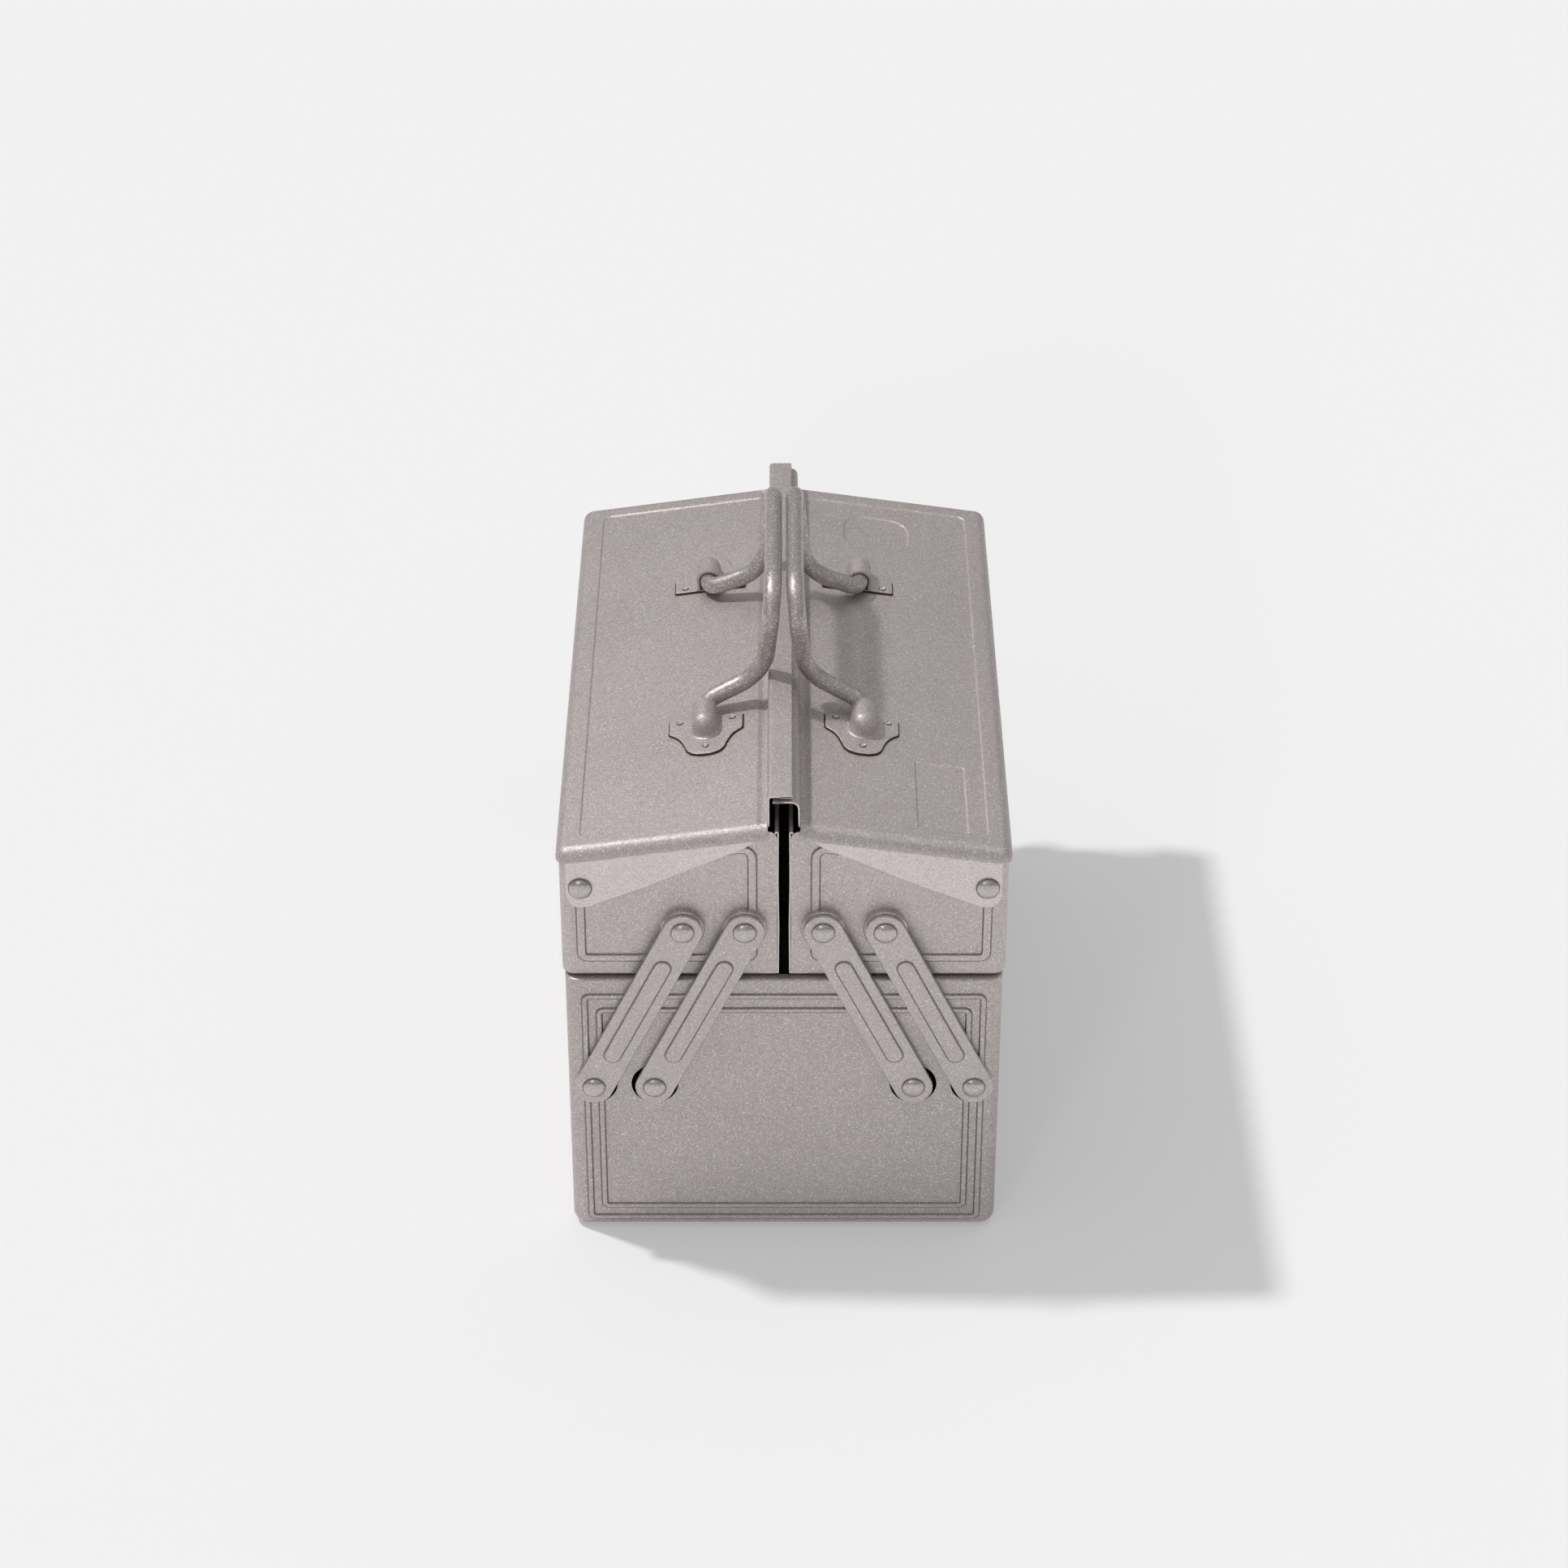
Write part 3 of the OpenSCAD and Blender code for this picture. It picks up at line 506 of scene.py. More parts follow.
def base_relief():
    """Nested bead frames on the end walls and raised bands on the side walls."""
    bm = bmesh.new()
    y = -BASE_Y + BEAD_SINK
    for x, low, high, radius in END_BEADS:
        corners = [(-x, y, low), (x, y, low), (x, y, high), (-x, y, high)]
        join_at_ends(bm, bead(corners, [radius] * 4, strip_relief(END_BEAD_WIDTH)))
    for side in SIDES:
        for i in range(BAND_COUNT):
            top = BAND_TOP - i * BAND_PITCH
            band = side_band(
                BASE_X, BAND_Y, top - BAND_HEIGHT, top, BAND_CORNER, BAND_STEPS, BAND_SLAB)
            mirror_to(band, side)
            join_in(bm, band)
    return bm


finish_piece(base_body(), "base_pan", "base", ["base_shell"], [PAINT], 30)
finish_piece(
    base_relief(), "base_pressed_lines", "base", [], [PAINT, CREASE_SHADE_PAINT], 50)


# ---------------------------------------------------------------- trays

LID_ROOM = 2.3  # between a tray's upper edge and the underside of its lid
TRAY_TIP = 5.0  # radius of the tray's upper inner corners

TRAY_BEAD_X0, TRAY_BEAD_X1, TRAY_BEAD_LOW, TRAY_BEAD_WIDTH = 13.0, 102.6, 168.3, 5.0
TRAY_BEAD_TOP = (16.0, 238.8)  # a point on the bead's upper line, which slopes like the lid
TRAY_BEAD_CORNERS = [5.4, 5.4, 5.4, 9.0]
TRAY_BAND_Y, TRAY_BAND_LOW, TRAY_BAND_HIGH, TRAY_BAND_CORNER = TRAY_Y - 18.5, 188, 214, 3
TRAY_BAND_STEPS = [(0.5, 0.2), (0.6, 0.25)]

INNER_SHEET, INNER_END = 0.7, 0.03
TAB, TAB_Z = 9.5, TRAY_Z + 1.5 * SHEET
CURL_RADIUS, CURL_DROP, CURL_TURN = 1.0, 1.5, math.radians(200)


def tray_top(x):
    slope = (x - RIDGE_X) * math.tan(LID_SLOPE)
    return ROOT_Z - slope - (SHEET + LID_ROOM) / math.cos(LID_SLOPE)


def tray_pan():
    """Tray shell, open at its top and its inner side; its upper edge slopes with the lid."""
    bm = box((TRAY_X1 - TRAY_X0) / 2, TRAY_Y, TRAY_Z, 300)
    bmesh.ops.translate(bm, vec=((TRAY_X1 + TRAY_X0) / 2, 0, 0), verts=bm.verts[:])
    open_side = [f for f in bm.faces if f.normal.x < -0.9]
    bmesh.ops.delete(bm, geom=open_side, context="FACES_ONLY")
    bevel(bm, edges_where(bm, lambda a, b: is_upright(a, b) and a.x > TRAY_X1 / 2), TRAY_CORNER, 6)
    low = edges_where(
        bm, lambda a, b: max(a.z, b.z) < TRAY_Z + NEAR and max(a.x, b.x) > TRAY_X0 + 1)
    bevel(bm, low, TRAY_LOW, 5)
    top = tray_top(TRAY_X0)
    slice_at(bm, (TRAY_X0, 0, top), (math.sin(LID_SLOPE), 0, math.cos(LID_SLOPE)), True)
    tips = [v for v in bm.verts if abs(v.co.x - TRAY_X0) < NEAR and v.co.z > top - 0.1]
    bevel(bm, tips, TRAY_TIP, 6, "VERTICES")
    face_outward(bm)
    if not any(f.normal.z < -0.9 for f in bm.faces):
        turn_over(bm)
    thicken(bm)
    return bm


def tray_relief():
    """Bead frame on both ends of a tray and the raised band along its outer side."""
    bm = bmesh.new()
    y = -TRAY_Y + BEAD_SINK
    top_x, top_z = TRAY_BEAD_TOP
    low = [(x, y, TRAY_BEAD_LOW) for x in (TRAY_BEAD_X0, TRAY_BEAD_X1)]
    high = [(x, y, top_z - (x - top_x) * math.tan(LID_SLOPE)) for x in (TRAY_BEAD_X1, TRAY_BEAD_X0)]
    join_at_ends(bm, bead(low + high, TRAY_BEAD_CORNERS, strip_relief(TRAY_BEAD_WIDTH)))
    join_in(bm, side_band(
        TRAY_X1, TRAY_BAND_Y, TRAY_BAND_LOW, TRAY_BAND_HIGH, TRAY_BAND_CORNER, TRAY_BAND_STEPS,
        BAND_SINK))
    return bm


def brighten_ends(bm):
    """Gives the cut ends of a sheet that runs along the box the lighter paint: a painted highlight.
    """
    bm.normal_update()
    for face in bm.faces:
        if abs(face.normal.y) > 0.9:
            face.material_index = BRIGHT


def inner_wall():
    """Thin sheet between the trays, with a floor tab and a curled top edge."""
    bm = bmesh.new()
    x, y = WALL_X + SHEET / 2, TRAY_Y - INNER_END
    top = tray_top(TRAY_X0) - CURL_DROP
    curl_x = x - 0.05
    outline = [
        (x + TAB, TAB_Z), (x, TAB_Z), (x - 0.25, TAB_Z + 28), (x + 0.15, TAB_Z + 52), (curl_x, top)]
    verts, _ = chain(bm, [(px, -y, pz) for px, pz in outline])
    spin(bm, verts[-1:], (curl_x + CURL_RADIUS, 0, top), (0, 1, 0), CURL_TURN, 8)
    sweep_along(bm, bm.edges[:], 2 * y)
    face_outward(bm)
    thicken(bm, INNER_SHEET)
    brighten_ends(bm)
    return bm


for side in SIDES:
    word = SIDE_NAME[side]
    for maker, label, nodes, angle in (
        (tray_pan, "tray_pan", [f"{word}_tray_shell"], 30),
        (tray_relief, "tray_pressed_lines", [], 50),
        (inner_wall, "tray_inner_sheet", [f"{word}_tray_inner_wall"], 40),
    ):
        bm = maker()
        mirror_to(bm, side)
        finish_piece(
            bm, f"{word}_{label}", f"{word}_tray", nodes,
            [TRAY_PAINTED_LIGHT_SILVER, CREASE_SHADE_PAINT, PAINTED_LIGHT_SILVER], angle)


# ---------------------------------------------------------------- links and rivets

LINK_EDGE = [(0.12, 0.24), (0.18, 0.15), (0.3, 0.06)]
RIB_HALF, RIB_LOW, RIB_HIGH = 5.0, 17.9, LINK_LENGTH - 18.9
RIB_FOOT, RIB_SLAB = 1.5, 0.45
RIB_STEPS = [(0.25, 0.10), (0.40, 0.38), (0.42, 0.34), (0.40, 0.15), (0.35, 0.04)]

SHANK, HOLE = 2.6, 2.66
TAIL_RADIUS, TAIL_HEIGHT = 4.4, 1.4
WASHER_RADIUS, BOSS_RADIUS, WASHER_BEVEL = 7.0, 10.8, 0.5
HEAD = [
    (5.9, 0.0), (5.85, 0.3), (5.35, 0.7), (4.7, 1.22), (3.8, 1.66), (2.7, 2.0), (1.6, 2.2),
    (0.8, 2.32), (0, 2.4),
]
SEAM_RADIUS, SEAM_HEIGHT = 5.2, 0.6  # where a head meets the metal under it; outside this the head's foot gets painted shade


def pill(half, low, high, z, segments):
    """Flat face with round ends, from low to high along Y."""
    bm = bmesh.new()
    face = closed_face(bm, [(-half, low, z), (half, low, z), (half, high, z), (-half, high, z)])
    round_corners(bm, face, [half - NOT_HALF] * 4, segments)
    bmesh.ops.remove_doubles(bm, verts=bm.verts[:], dist=NEAR)
    return bm, bm.faces[:][0]


def link():
    """Flat link with round edges and a pressed rib, upward from its lower pivot."""
    half = LINK_WIDTH / 2
    bm, face = pill(half, -half, LINK_LENGTH + half, 0, 14)
    pressed(bm, raise_slab(bm, face, LINK_THICK - rise(LINK_EDGE)), LINK_EDGE)
    rib, face = pill(RIB_HALF, RIB_LOW, RIB_HIGH, RIB_FOOT, 12)
    pressed(rib, raise_slab(rib, face, RIB_SLAB), RIB_STEPS)
    shade_creases(rib, (0, 0, 1))
    join_in(bm, rib)
    return bm


def link_place(x):
    lean = Matrix.Rotation(-LINK_LEAN, 4, "Y")
    return Matrix.Translation((x, -LINK_BACK, LOWER_Z)) @ lean @ STAND


def rivet(head_y, tail_y):
    """Domed rivet along -Y: its head stands outside head_y and its tail inside tail_y."""
    bm = bmesh.new()
    foot = tail_y - head_y
    tail = [
        (0, foot - TAIL_HEIGHT), (TAIL_RADIUS - 0.3, foot - TAIL_HEIGHT),
        (TAIL_RADIUS, foot - TAIL_HEIGHT + 0.4), (TAIL_RADIUS, foot), (SHANK, foot), (SHANK, 0),
    ]
    lathe(bm, tail + HEAD, 36)
    # The foot of the head gets the dark paint: a ring of painted shade.
    for face in bm.faces:
        middle = face.calc_center_median()
        if 0 < middle.z < SEAM_HEIGHT and middle.xy.length > SEAM_RADIUS:
            face.material_index = DARK
    place(bm, Matrix.Translation((0, -head_y, 0)) @ STAND)
    return bm


def washer(radius, far_y, near_y):
    bm = bmesh.new()
    height = far_y - near_y
    lathe(bm, [
        (HOLE, 0), (HOLE, height), (radius - WASHER_BEVEL, height), (radius, height - WASHER_BEVEL),
        (radius, 0), (HOLE, 0),
    ], 40)
    place(bm, Matrix.Translation((0, -near_y, 0)) @ STAND)
    return bm


def finish_set(name, body, node, maker, sizes, places):
    """One piece with a copy of a small part at each (x, z, side, end)."""
    bm = bmesh.new()
    for x, z, side, end in places:
        one = maker(*sizes)
        place(one, Matrix.Translation((x, 0, z)))
        mirror_to(one, side, end)
        join_in(bm, one)
    finish_piece(bm, name, body, [node], [RIVET_PAINT, CREASE_SHADE_PAINT], 40)


for side in SIDES:
    for end in ENDS:
        for which, x in (("outer", OUTER_X), ("inner", INNER_X)):
            word = f"{SIDE_NAME[side]}_{END_NAME[end]}_{which}_link"
            bm = link()
            place(bm, link_place(x))
            mirror_to(bm, side, end)
            finish_piece(
                bm, f"{word}_plate", f"{SIDE_NAME[side]}_{which}_links", [word],
                [LINK_PAINT, CREASE_SHADE_PAINT], 45)

head_y, under_y = LINK_BACK + LINK_THICK + PLAY, LINK_BACK - PLAY  # in front of and behind a link
pocket_y = BASE_Y - POCKET_DEPTH
lower = [(x, LOWER_Z, side, end) for side in SIDES for end in ENDS for x in (OUTER_X, INNER_X)]
finish_set("base_rivet_set", "base", "base_link_rivets", rivet, (head_y, pocket_y - SHEET), lower)
finish_set(
    "base_washer_set", "base", "base_link_spacers", washer,
    (WASHER_RADIUS, under_y, pocket_y), lower)
for side in SIDES:
    word = SIDE_NAME[side]
    upper = [(x - LINK_SHIFT, UPPER_Z, side, end) for end in ENDS for x in (OUTER_X, INNER_X)]
    hinge = [(*LID_RIVET, side, end) for end in ENDS]
    for label, node, maker, sizes, places in (
        ("tray_rivet_set", "tray_link_rivets", rivet, (head_y, TRAY_Y - SHEET), upper),
        ("tray_boss_set", "tray_spacers", washer, (BOSS_RADIUS, under_y, TRAY_Y), upper),
        ("lid_rivet_set", "lid_rivets", rivet, (LID_Y + PLAY, TRAY_Y - SHEET), hinge),
    ):
        finish_set(f"{word}_{label}", f"{word}_tray", f"{word}_{node}", maker, sizes, places)


# ---------------------------------------------------------------- lids

RIDGE_CUT = 20.0  # how much further than the ridge a lid is drawn before it is cut there
CORNER = LID_ROLL + 0.4
FIELD_CORNER = 5
FIELD_STEPS = [(0.35, -0.12), (0.5, -0.5), (0.35, -0.12)]  # LID_PRESS deep in all
# How far down the slope, and how much lower the lid is there
VALLEY = [(0, 1.2), (1.2, 1.2), (2.6, 1.2), (3.6, 0.95), (4.6, 0.5), (5.8, 0.12)]

FLAP_TILT = 0.5
FLAP_TOP = [(0.22, 0.22), (0.26, 0.13), (0.3, 0.05)]
FLAP_EDGE = [
    (13.9, 240.8), (19.6, 236.6), (40.0, 226.9), (68.0, 213.6), (94.45, 202.56), (97.0, 201.6),
    (99.8, 201.2), (102.8, 202.0), (105.2, 204.2), (106.5, 207.6), (106.8, 211.5), (106.7, 216.0),
    (106.5, 228.1), (11.7, 241.9),
]

# Points of the folded flange along the ridge, and the radius of the bend at each
RIDGE_FOLD = {
    LEFT: (
        [(9.6, 247.0), (7.9, 247.3), (8.0, 264.9), (-4.1, 264.9), (-4.1, 263.8), (1.4, 263.8)],
        [0, 0.8, 2.2, 0.5, 0.5, 0],
    ),
    RIGHT: (
        [(9.6, 247.0), (7.8, 247.3), (7.6, 261.7), (-5.5, 261.7), (-5.5, 260.7), (-0.2, 260.7)],
        [0, 0.8, 4.2, 0.45, 0.45, 0],
    ),
}
RIDGE_Y = LID_Y - 4


def lid_place():
    return Matrix.Translation((RIDGE_X, 0, ROOT_Z)) @ Matrix.Rotation(LID_SLOPE, 4, "Y")


def roll_steps(radius, count):
    """Inset steps round a quarter turn, from an upright side to a flat top."""
    turn = [math.radians(90 * i / count) for i in range(count + 1)]
    return [(radius * (math.cos(a) - math.cos(b)), radius * (math.sin(b) - math.sin(a)))
            for a, b in zip(turn, turn[1:])]


def panel(x, y, half_u, half_y, radius, steps):
    """Field on a lid round a plan position, for press_fields."""
    u = (x - RIDGE_X) / math.cos(LID_SLOPE)
    return (u - half_u, y - half_y), (u + half_u, y + half_y), [radius] * 4, steps


LID_PANELS = {
    LEFT: [],
    RIGHT: [
        panel(78, -127, 13, 30, 1.6, [(0.35, -0.1), (0.45, -0.42), (0.35, -0.1)]),
        panel(50.7, 128, 18.3, 18.0, 12.5, [(0.4, -0.1), (0.55, -0.42), (0.5, -0.12)]),
    ],
}


def press_fields(bm, face, fields):
    """Presses rounded rectangles into a flat upper face; each has two corners, radii and steps."""
    z = face.verts[0].co.z
    edges = list(face.edges)
    bmesh.ops.delete(bm, geom=[face], context="FACES_ONLY")
    rims = []
    for (x0, y0), (x1, y1), radii, steps in fields:
        spare = bmesh.new()
        rim = closed_face(spare, [(x0, y0, z), (x1, y0, z), (x1, y1, z), (x0, y1, z)])
        round_corners(spare, rim, radii, 7)
        before = set(bm.faces)
        join_in(bm, spare)
        rims.append((next(f for f in bm.faces if f not in before), steps))
    bmesh.ops.triangle_fill(
        bm, use_beauty=True, use_dissolve=False, normal=(0, 0, 1),
        edges=edges + [e for rim, _ in rims for e in rim.edges],
    )
    for rim, steps in rims:
        rim.normal_update()
        pressed(bm, rim, steps)
    return [rim for rim, _ in rims]


def lid_pan(panels):
    """Sloped sheet with rolled edges, a lower field in its middle and a valley along the ridge."""
    bm = bmesh.new()
    x0, x1, y = -RIDGE_CUT, LID_RUN, LID_Y
    corners = [(x0, -y), (x1, -y), (x1, y), (x0, y)]
    face = closed_face(bm, [(px, py, -LID_FLANGE) for px, py in corners])
    face = round_corners(bm, face, [0, CORNER, CORNER, 0], 7)
    top = raise_slab(bm, face, LID_FLANGE - LID_ROLL)
    pressed(bm, top, roll_steps(LID_ROLL, 8))
    bm.normal_update()
    under = [f for f in bm.faces if f.normal.z < -0.99]
    bmesh.ops.delete(bm, geom=under, context="FACES")
    strip = LID_ROLL + LID_BORDER
    field = ((x0 + strip, strip - y), (x1 - strip, y - strip), [0, FIELD_CORNER, FIELD_CORNER, 0])
    field_face = press_fields(bm, top, [(*field, FIELD_STEPS)])[0]
    if panels:
        press_fields(bm, field_face, panels)
    slice_at(bm, (0, 0, 0), (-1, 0, 0), True)
    for u, _ in VALLEY[1:]:
        slice_at(bm, (u, 0, 0), (1, 0, 0))
    for vert in bm.verts:
        for u, drop in VALLEY:
            if abs(vert.co.x - u) < NEAR and abs(vert.co.y) < LID_Y - LID_ROLL:
                vert.co.z -= drop
    place(bm, lid_place())
    bm.normal_update()
    if max(bm.faces, key=lambda f: f.calc_area()).normal.z < 0:
        turn_over(bm)
    thicken(bm)
    return bm


def lid_flap():
    """Tapered flap under the front end of a lid, round at the rivet that it turns on."""
    bm = bmesh.new()
    face = closed_face(bm, [(x, -LID_Y + SHEET, z) for x, z in FLAP_EDGE])
    top = raise_slab(bm, face, SHEET - rise(FLAP_TOP))
    # The flap's cut sides get the dark brown: bare edge, with painted shade along its lower edge.
    for side_face in bm.faces:
        side_face.material_index = DARK
    # Its face, and the rings that face the front, get the light paint: painted light, so the flap
    # looks brighter than the tray end under it.
    top.material_index = BRIGHT
    pressed(bm, top, FLAP_TOP)
    bm.normal_update()
    for ring in bm.faces:
        if abs(ring.normal.y) > 0.93:
            ring.material_index = BRIGHT
    low = min(v.co.z for v in bm.verts)
    high = max(v.co.z for v in bm.verts)
    for vert in bm.verts:
        vert.co.y += FLAP_TILT * (high - vert.co.z) / (high - low)
    return bm


def ridge(points, bends):
    """Folded flange along the ridge: a strip through the points with its bends rounded."""
    bm = bmesh.new()
    _, edges = chain(bm, [(px, -RIDGE_Y, pz) for px, pz in points])
    sweep_along(bm, edges, 2 * RIDGE_Y)
    for (px, pz), radius in zip(points, bends):
        if radius:
            fold = edges_where(bm, lambda a, b: all(
                abs(p.x - px) < NEAR and abs(p.z - pz) < NEAR for p in (a, b)))
            bevel(bm, fold, radius, 5)
    face_outward(bm)
    thicken(bm)
    brighten_ends(bm)
    return bm


for side in SIDES:
    word = SIDE_NAME[side]
    bm = lid_pan(LID_PANELS[side])
    join_at_ends(bm, lid_flap())
    join_in(bm, ridge(*RIDGE_FOLD[side]))
    mirror_to(bm, side)
    finish_piece(
        bm, f"{word}_lid_pan", f"{word}_lid", [f"{word}_lid"],
        [PAINT, BARE_EDGE_AND_SHADE_PAINT, PAINTED_LIGHT_SILVER], 30)


# ---------------------------------------------------------------- handle brackets

LEG_HEIGHT = 5.5  # of the rod's axis over the lid
HANDLE_U = (HANDLE_X - RIDGE_X - LEG_HEIGHT * math.sin(LID_SLOPE)) / math.cos(LID_SLOPE)
BRACKET_Y, HOLD = 63.5, 13.4  # near end of the plate, and how far the rod reaches over it
PLATE_TOP, PLATE_FOOT = 0.6, 1.1  # over and under the lid's border
PLATE_EDGE = [(0.12, 0.2), (0.2, 0.1), (0.4, 0.05)]
PLATE_HALF = [(18.7, 0), (18.7, 13.2), (14.2, 16.2), (10.9, 23.5), (9.2, 30.6), (4.2, 33.9)]
PLATE_CORNERS = [1.0, 1.4, 3.6, 3.6, 3.0, 2.8]
PLATE_MIDDLE = 17
SEAM_RISE, SEAM_GROW = 0.1, (1.033, 1.035)
TUNNEL_RADIUS, TUNNEL_SHEET = 6.3, 1.2
TUNNEL_FOOT = [(0, 2.6), (0.2, 1.5), (0.7, 0.85), (1.6, 0.53)]  # outward from the side, height
WELDS = [(-13.4, 3.4), (13.4, 3.4), (0, 27.0)]
WELD_SINK, WELD_SEAM = 0.12, 1.6
WELD_PROFILE = [
    (0, 0), (0.5, 0.04), (0.8, 0.3), (1.1, 0.68), (1.35, 0.76), (1.6, 0.62), (1.9, 0.05), (0, -0.3)]


def bracket_outline():
    outline = PLATE_HALF + [(-x, y) for x, y in reversed(PLATE_HALF)]
    bm = bmesh.new()
    face = closed_face(bm, [(x, y, -PLATE_FOOT) for x, y in outline])
    return bm, round_corners(bm, face, PLATE_CORNERS + PLATE_CORNERS[::-1], 4)


def bracket_plate():
    """Flat plate with dark brown edges, in a dark seam: the brown of bare edges, with painted shade
    where the plate meets the lid.
    """
    bm, face = bracket_outline()
    top = raise_slab(bm, face, PLATE_TOP + PLATE_FOOT - rise(PLATE_EDGE))
    for side_face in bm.faces:
        if abs(side_face.normal.z) < 0.5:
            side_face.material_index = DARK
    pressed(bm, top, PLATE_EDGE)
    seam, face = bracket_outline()
    raise_slab(seam, face, PLATE_FOOT - LID_PRESS + SEAM_RISE)
    # The seam, a little wider than the plate, is dark all over: painted shade round the plate's
    # foot.
    for seam_face in seam.faces:
        seam_face.material_index = DARK
    middle = Matrix.Translation((0, PLATE_MIDDLE, 0))
    place(seam, middle @ Matrix.Diagonal((*SEAM_GROW, 1, 1)) @ middle.inverted())
    join_in(bm, seam)
    return bm


def bracket_tunnel():
    """Pressed tunnel round the leg, with a flared foot and a domed end."""
    bm = bmesh.new()
    r = TUNNEL_RADIUS
    turn = [math.radians(a) for a in range(0, 91, 10)]
    arc = [(r * math.sin(a), LEG_HEIGHT + r * math.cos(a)) for a in turn]
    profile = arc + [(r + out, z) for out, z in TUNNEL_FOOT]
    verts, edges = chain(bm, [(px, HOLD, pz) for px, pz in profile])
    spin(bm, verts + edges, (0, HOLD, 0), (0, 0, 1), math.pi, 20)
    bmesh.ops.remove_doubles(bm, verts=bm.verts[:], dist=0.001)
    at_hold = edges_where(bm, lambda a, b: all(abs(p.y - HOLD) < NEAR for p in (a, b)))
    sweep_along(bm, [e for e in at_hold if len(e.link_faces) == 1], -HOLD)
    face_outward(bm)
    crown = max(bm.faces, key=lambda f: f.calc_center_median().z)
    if crown.normal.z < 0:
        turn_over(bm)
    thicken(bm, TUNNEL_SHEET)
    return bm


def weld_dimple():
    """Ring pushed up by a spot weld, with painted shade on the outside of the ring."""
    bm = bmesh.new()
    lathe(bm, WELD_PROFILE, 20)
    for face in bm.faces:
        middle = face.calc_center_median()
        if middle.z > 0 and middle.xy.length > WELD_SEAM:
            face.material_index = DARK
    return bm


for side in SIDES:
    for end in ENDS:
        word = f"{SIDE_NAME[side]}_{END_NAME[end]}_handle_bracket"
        bm = bracket_plate()
        join_in(bm, bracket_tunnel())
        for x, y in WELDS:
            dimple = weld_dimple()
            place(dimple, Matrix.Translation((x, y, PLATE_TOP - WELD_SINK)))
            join_in(bm, dimple)
        place(bm, lid_place() @ Matrix.Translation((HANDLE_U, BRACKET_Y, 0)))
        mirror_to(bm, side, -end)  # a bracket is drawn for the rear
        finish_piece(
            bm, f"{word}_pressing", f"{SIDE_NAME[side]}_lid", [word],
            [PAINT, BARE_EDGE_AND_SHADE_PAINT], 45)


# ---------------------------------------------------------------- handles

# From the end of a leg to the middle of the grip: across, along and up from the axis of its fold
ROD_HALF = [(0, -76.5, 0), (0, -56, 0), (-30, -51.5, 14.5), (-34.7, -62, 63.3)]
ROD_BENDS = [9, 24, 18]
ROD_SIDES, BEND_STEPS = 32, 14
ROD_BEVEL = 0.5


def bent_rod():
    """Round rod: a ring that runs straight and turns round each bend."""
    half = [Vector((HANDLE_X + x, y, HANDLE_Z + z)) for x, y, z in ROD_HALF]
    points = half + [Vector((p.x, -p.y, p.z)) for p in reversed(half)]
    bm = bmesh.new()
    along = (points[1] - points[0]).normalized()
    made = bmesh.ops.create_circle(
        bm, cap_ends=False, radius=ROD - ROD_BEVEL, segments=ROD_SIDES,
        matrix=Matrix.Translation(points[0]) @ along.to_track_quat("Z", "Y").to_matrix().to_4x4(),
    )["verts"]
    ring = edges_at(made)
    bmesh.ops.contextual_create(bm, geom=ring)

    def run(ring, vec, grow=1.0, about=None):
        """Takes the ring along vec; with grow it also gets wider or narrower about a point."""
        verts, ring = extrude_edges(bm, ring)
        if grow != 1.0:
            bmesh.ops.scale(
                bm, vec=(grow, grow, grow), verts=verts, space=Matrix.Translation(-about))
        bmesh.ops.translate(bm, vec=vec, verts=verts)
        return ring

    grow = ROD / (ROD - ROD_BEVEL)
    ring = run(ring, along * ROD_BEVEL, grow, points[0])
    here = points[0] + along * ROD_BEVEL
    for before, corner, after, bend in zip(
            points, points[1:], points[2:], ROD_BENDS + ROD_BENDS[::-1]):
        along = (corner - before).normalized()
        onward = (after - corner).normalized()
        turn = along.angle(onward)
        trim = bend * math.tan(turn / 2)
        stop = corner - along * trim
        ring = run(ring, stop - here)
        inward = (onward - along * along.dot(onward)).normalized()
        verts = list(dict.fromkeys(v for e in ring for v in e.verts))
        last = spin(
            bm, verts + ring, stop + inward * bend, along.cross(inward), turn, BEND_STEPS)
        ring = [g for g in last if isinstance(g, bmesh.types.BMEdge)]
        here = corner + onward * trim
    stop = points[-1] - onward * ROD_BEVEL
    ring = run(ring, stop - here)
    ring = run(ring, onward * ROD_BEVEL, 1 / grow, stop)
    bmesh.ops.contextual_create(bm, geom=ring)
    face_outward(bm)
    return bm


for side in SIDES:
    word = SIDE_NAME[side]
    bm = bent_rod()
    mirror_to(bm, side)
    finish_piece(
        bm, f"{word}_handle_rod", f"{word}_handle", [f"{word}_handle"],
        [ROD_PAINT], 50)


# ---------------------------------------------------------------- stage, light and camera

FLOOR_SIZE, FLOOR_COLOUR = 12, (0.86, 0.86, 0.86)
FLOOR_GLOW, FLOOR_SHARE = 0.93, 0.25
WORLD_LIGHT = {"From Min": 0.05, "From Max": 0.9, "To Min": 0.15, "To Max": 0.61}  # by height
LAMPS = [  # name, place, strength and radius
    ("key", (-0.706, 0.161, 1.571), 19.8, 0.05),
    ("fill", (-0.45, -1.45, 0.85), 1.2, 0.12),
]
CAMERA_PLACE, CAMERA_TILT = (0, -1.7314, 1.3058), math.radians(56.55)
CAMERA_SENSOR, CAMERA_LENS = 36, 89.4


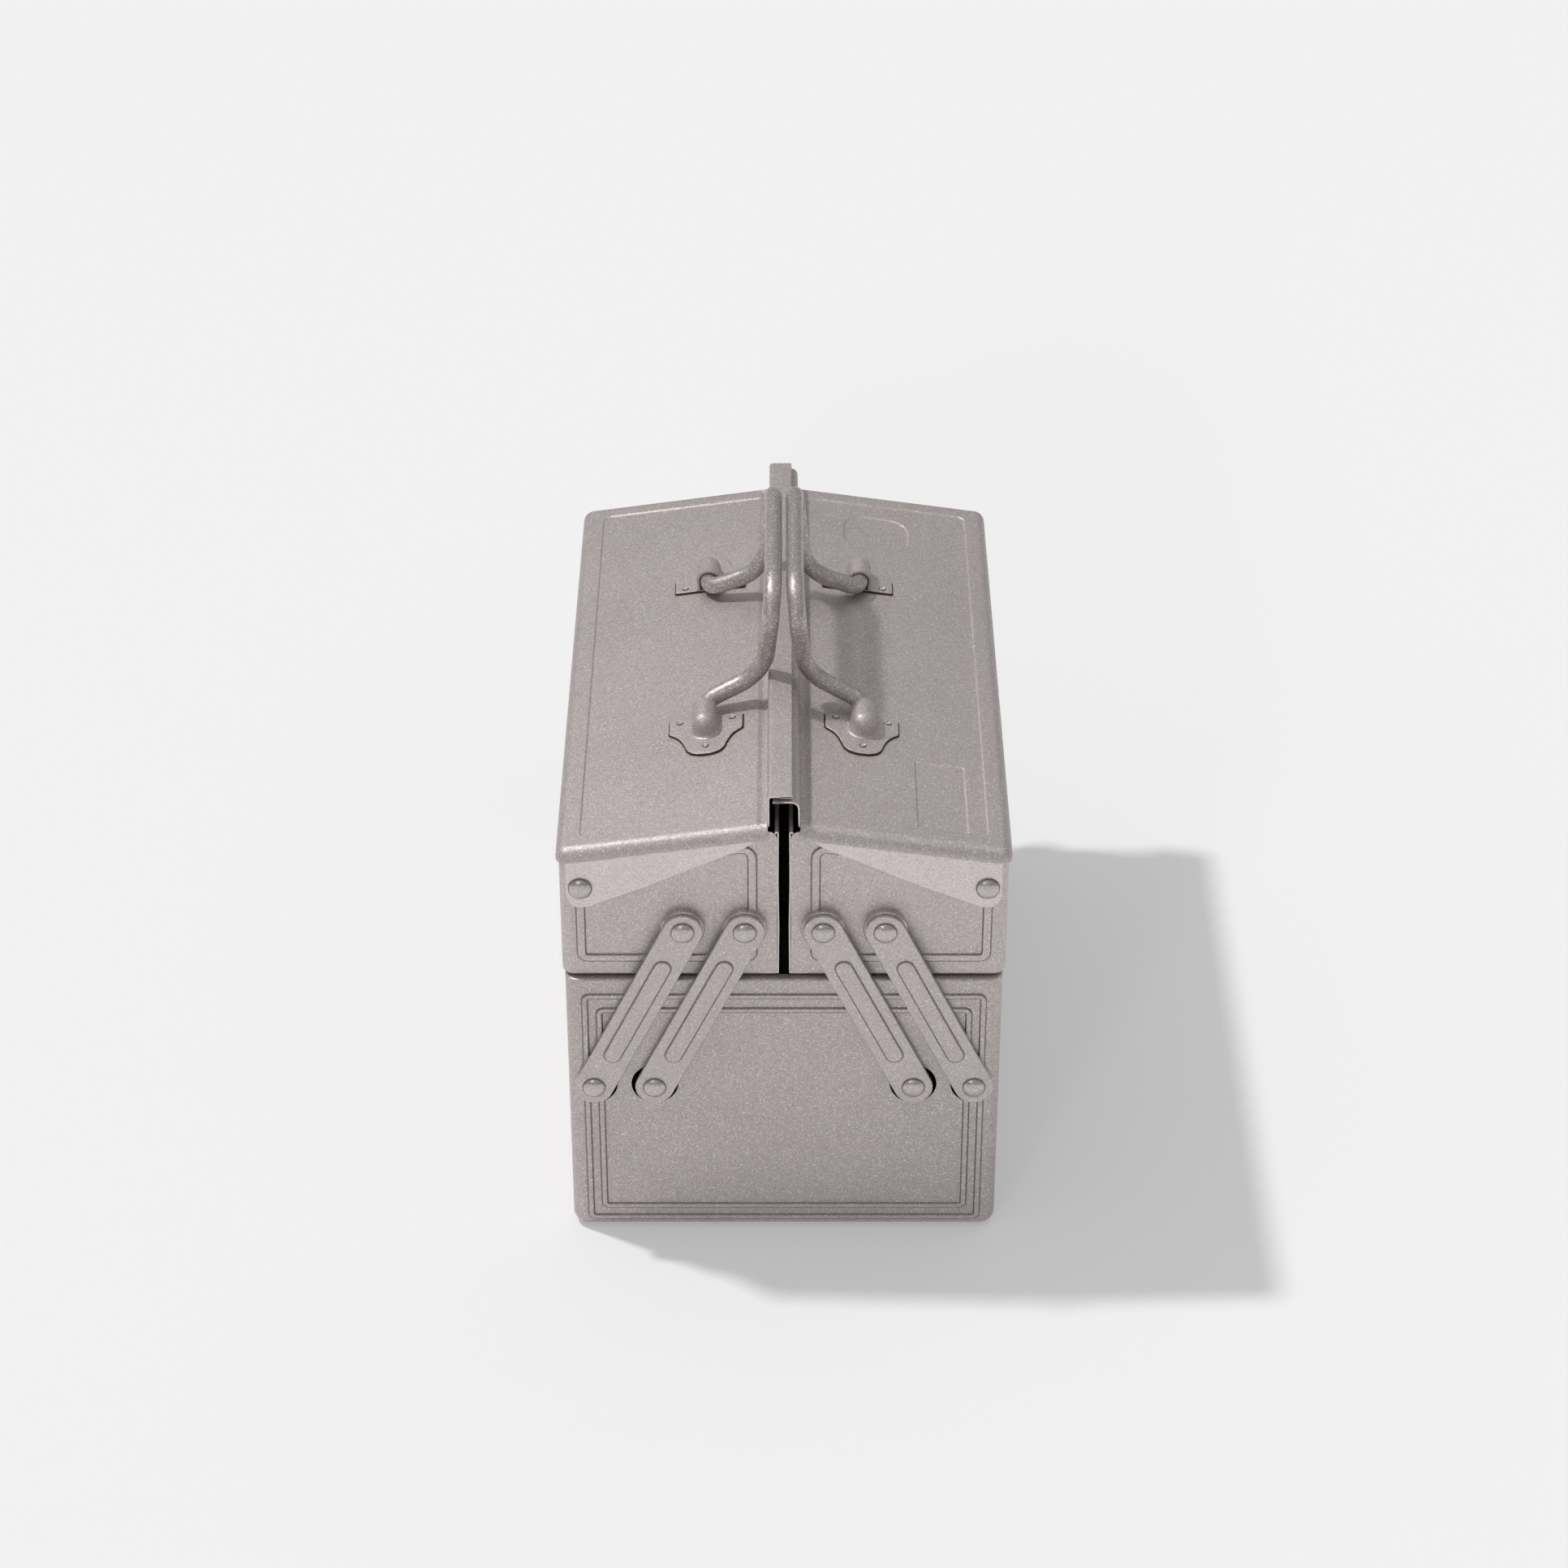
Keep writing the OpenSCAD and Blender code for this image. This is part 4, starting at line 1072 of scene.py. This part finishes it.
def stage_material():
    """Pale floor; the camera and reflections see a share of it as plain light."""
    material = bpy.data.materials.new("studio floor")
    material.use_nodes = True
    graph = Graph(material.node_tree)
    shader = graph.nodes["Principled BSDF"]
    graph.feed(shader, {
        "Base Color": (*FLOOR_COLOUR, 1), "Roughness": 0.9, "Specular IOR Level": 0.1,
    })
    plain = graph.add("ShaderNodeEmission", {"Strength": FLOOR_GLOW})
    ray = graph.add("ShaderNodeLightPath").outputs
    seen = graph.calculate("ADD", ray["Is Camera Ray"], ray["Is Glossy Ray"], use_clamp=True)
    both = graph.add("ShaderNodeMixShader", {
        0: graph.calculate("MULTIPLY", seen, FLOOR_SHARE),
        1: shader.outputs["BSDF"],
        2: plain.outputs["Emission"],
    })
    graph.feed(graph.nodes["Material Output"], {"Surface": both.outputs["Shader"]})
    return material


def add_floor():
    bm = bmesh.new()
    bmesh.ops.create_grid(bm, x_segments=1, y_segments=1, size=FLOOR_SIZE)
    mesh = bpy.data.meshes.new("studio_floor")
    bm.to_mesh(mesh)
    bm.free()
    mesh.materials.append(stage_material())
    floor = show("studio_floor", mesh)


def add_world():
    world = bpy.data.worlds.new("studio")
    world.use_nodes = True
    graph = Graph(world.node_tree)
    where = graph.add("ShaderNodeTexCoord").outputs["Generated"]
    height = graph.add("ShaderNodeSeparateXYZ", {"Vector": where}).outputs["Z"]
    graph.feed(graph.nodes["Background"], {
        "Color": (1, 1, 1, 1), "Strength": graph.remap(height, WORLD_LIGHT),
    })
    bpy.context.scene.world = world


def add_lamp(name, place_at, strength, radius):
    """Lamp that lights the floor evenly: it grows with distance, as the light comes in flatter."""
    lamp = bpy.data.lights.new(name, "POINT")
    lamp.energy = 1
    lamp.shadow_soft_size = radius
    lamp.use_nodes = True
    graph = Graph(lamp.node_tree)
    falloff = graph.add("ShaderNodeLightFalloff", {"Strength": strength / place_at[2]})
    distance = graph.add("ShaderNodeLightPath").outputs["Ray Length"]
    graph.feed(graph.nodes["Emission"], {
        "Strength": graph.calculate("MULTIPLY", falloff.outputs["Constant"], distance),
    })
    show(name, lamp).location = place_at


def add_camera():
    camera = bpy.data.cameras.new("photo view")
    camera.sensor_width = CAMERA_SENSOR
    camera.lens = CAMERA_LENS
    holder = show("photo view", camera)
    holder.location = CAMERA_PLACE
    holder.rotation_euler = (CAMERA_TILT, 0, 0)
    bpy.context.scene.camera = holder


add_floor()
add_world()
for lamp in LAMPS:
    add_lamp(*lamp)
add_camera()
bpy.context.scene.view_settings.view_transform = "Standard"
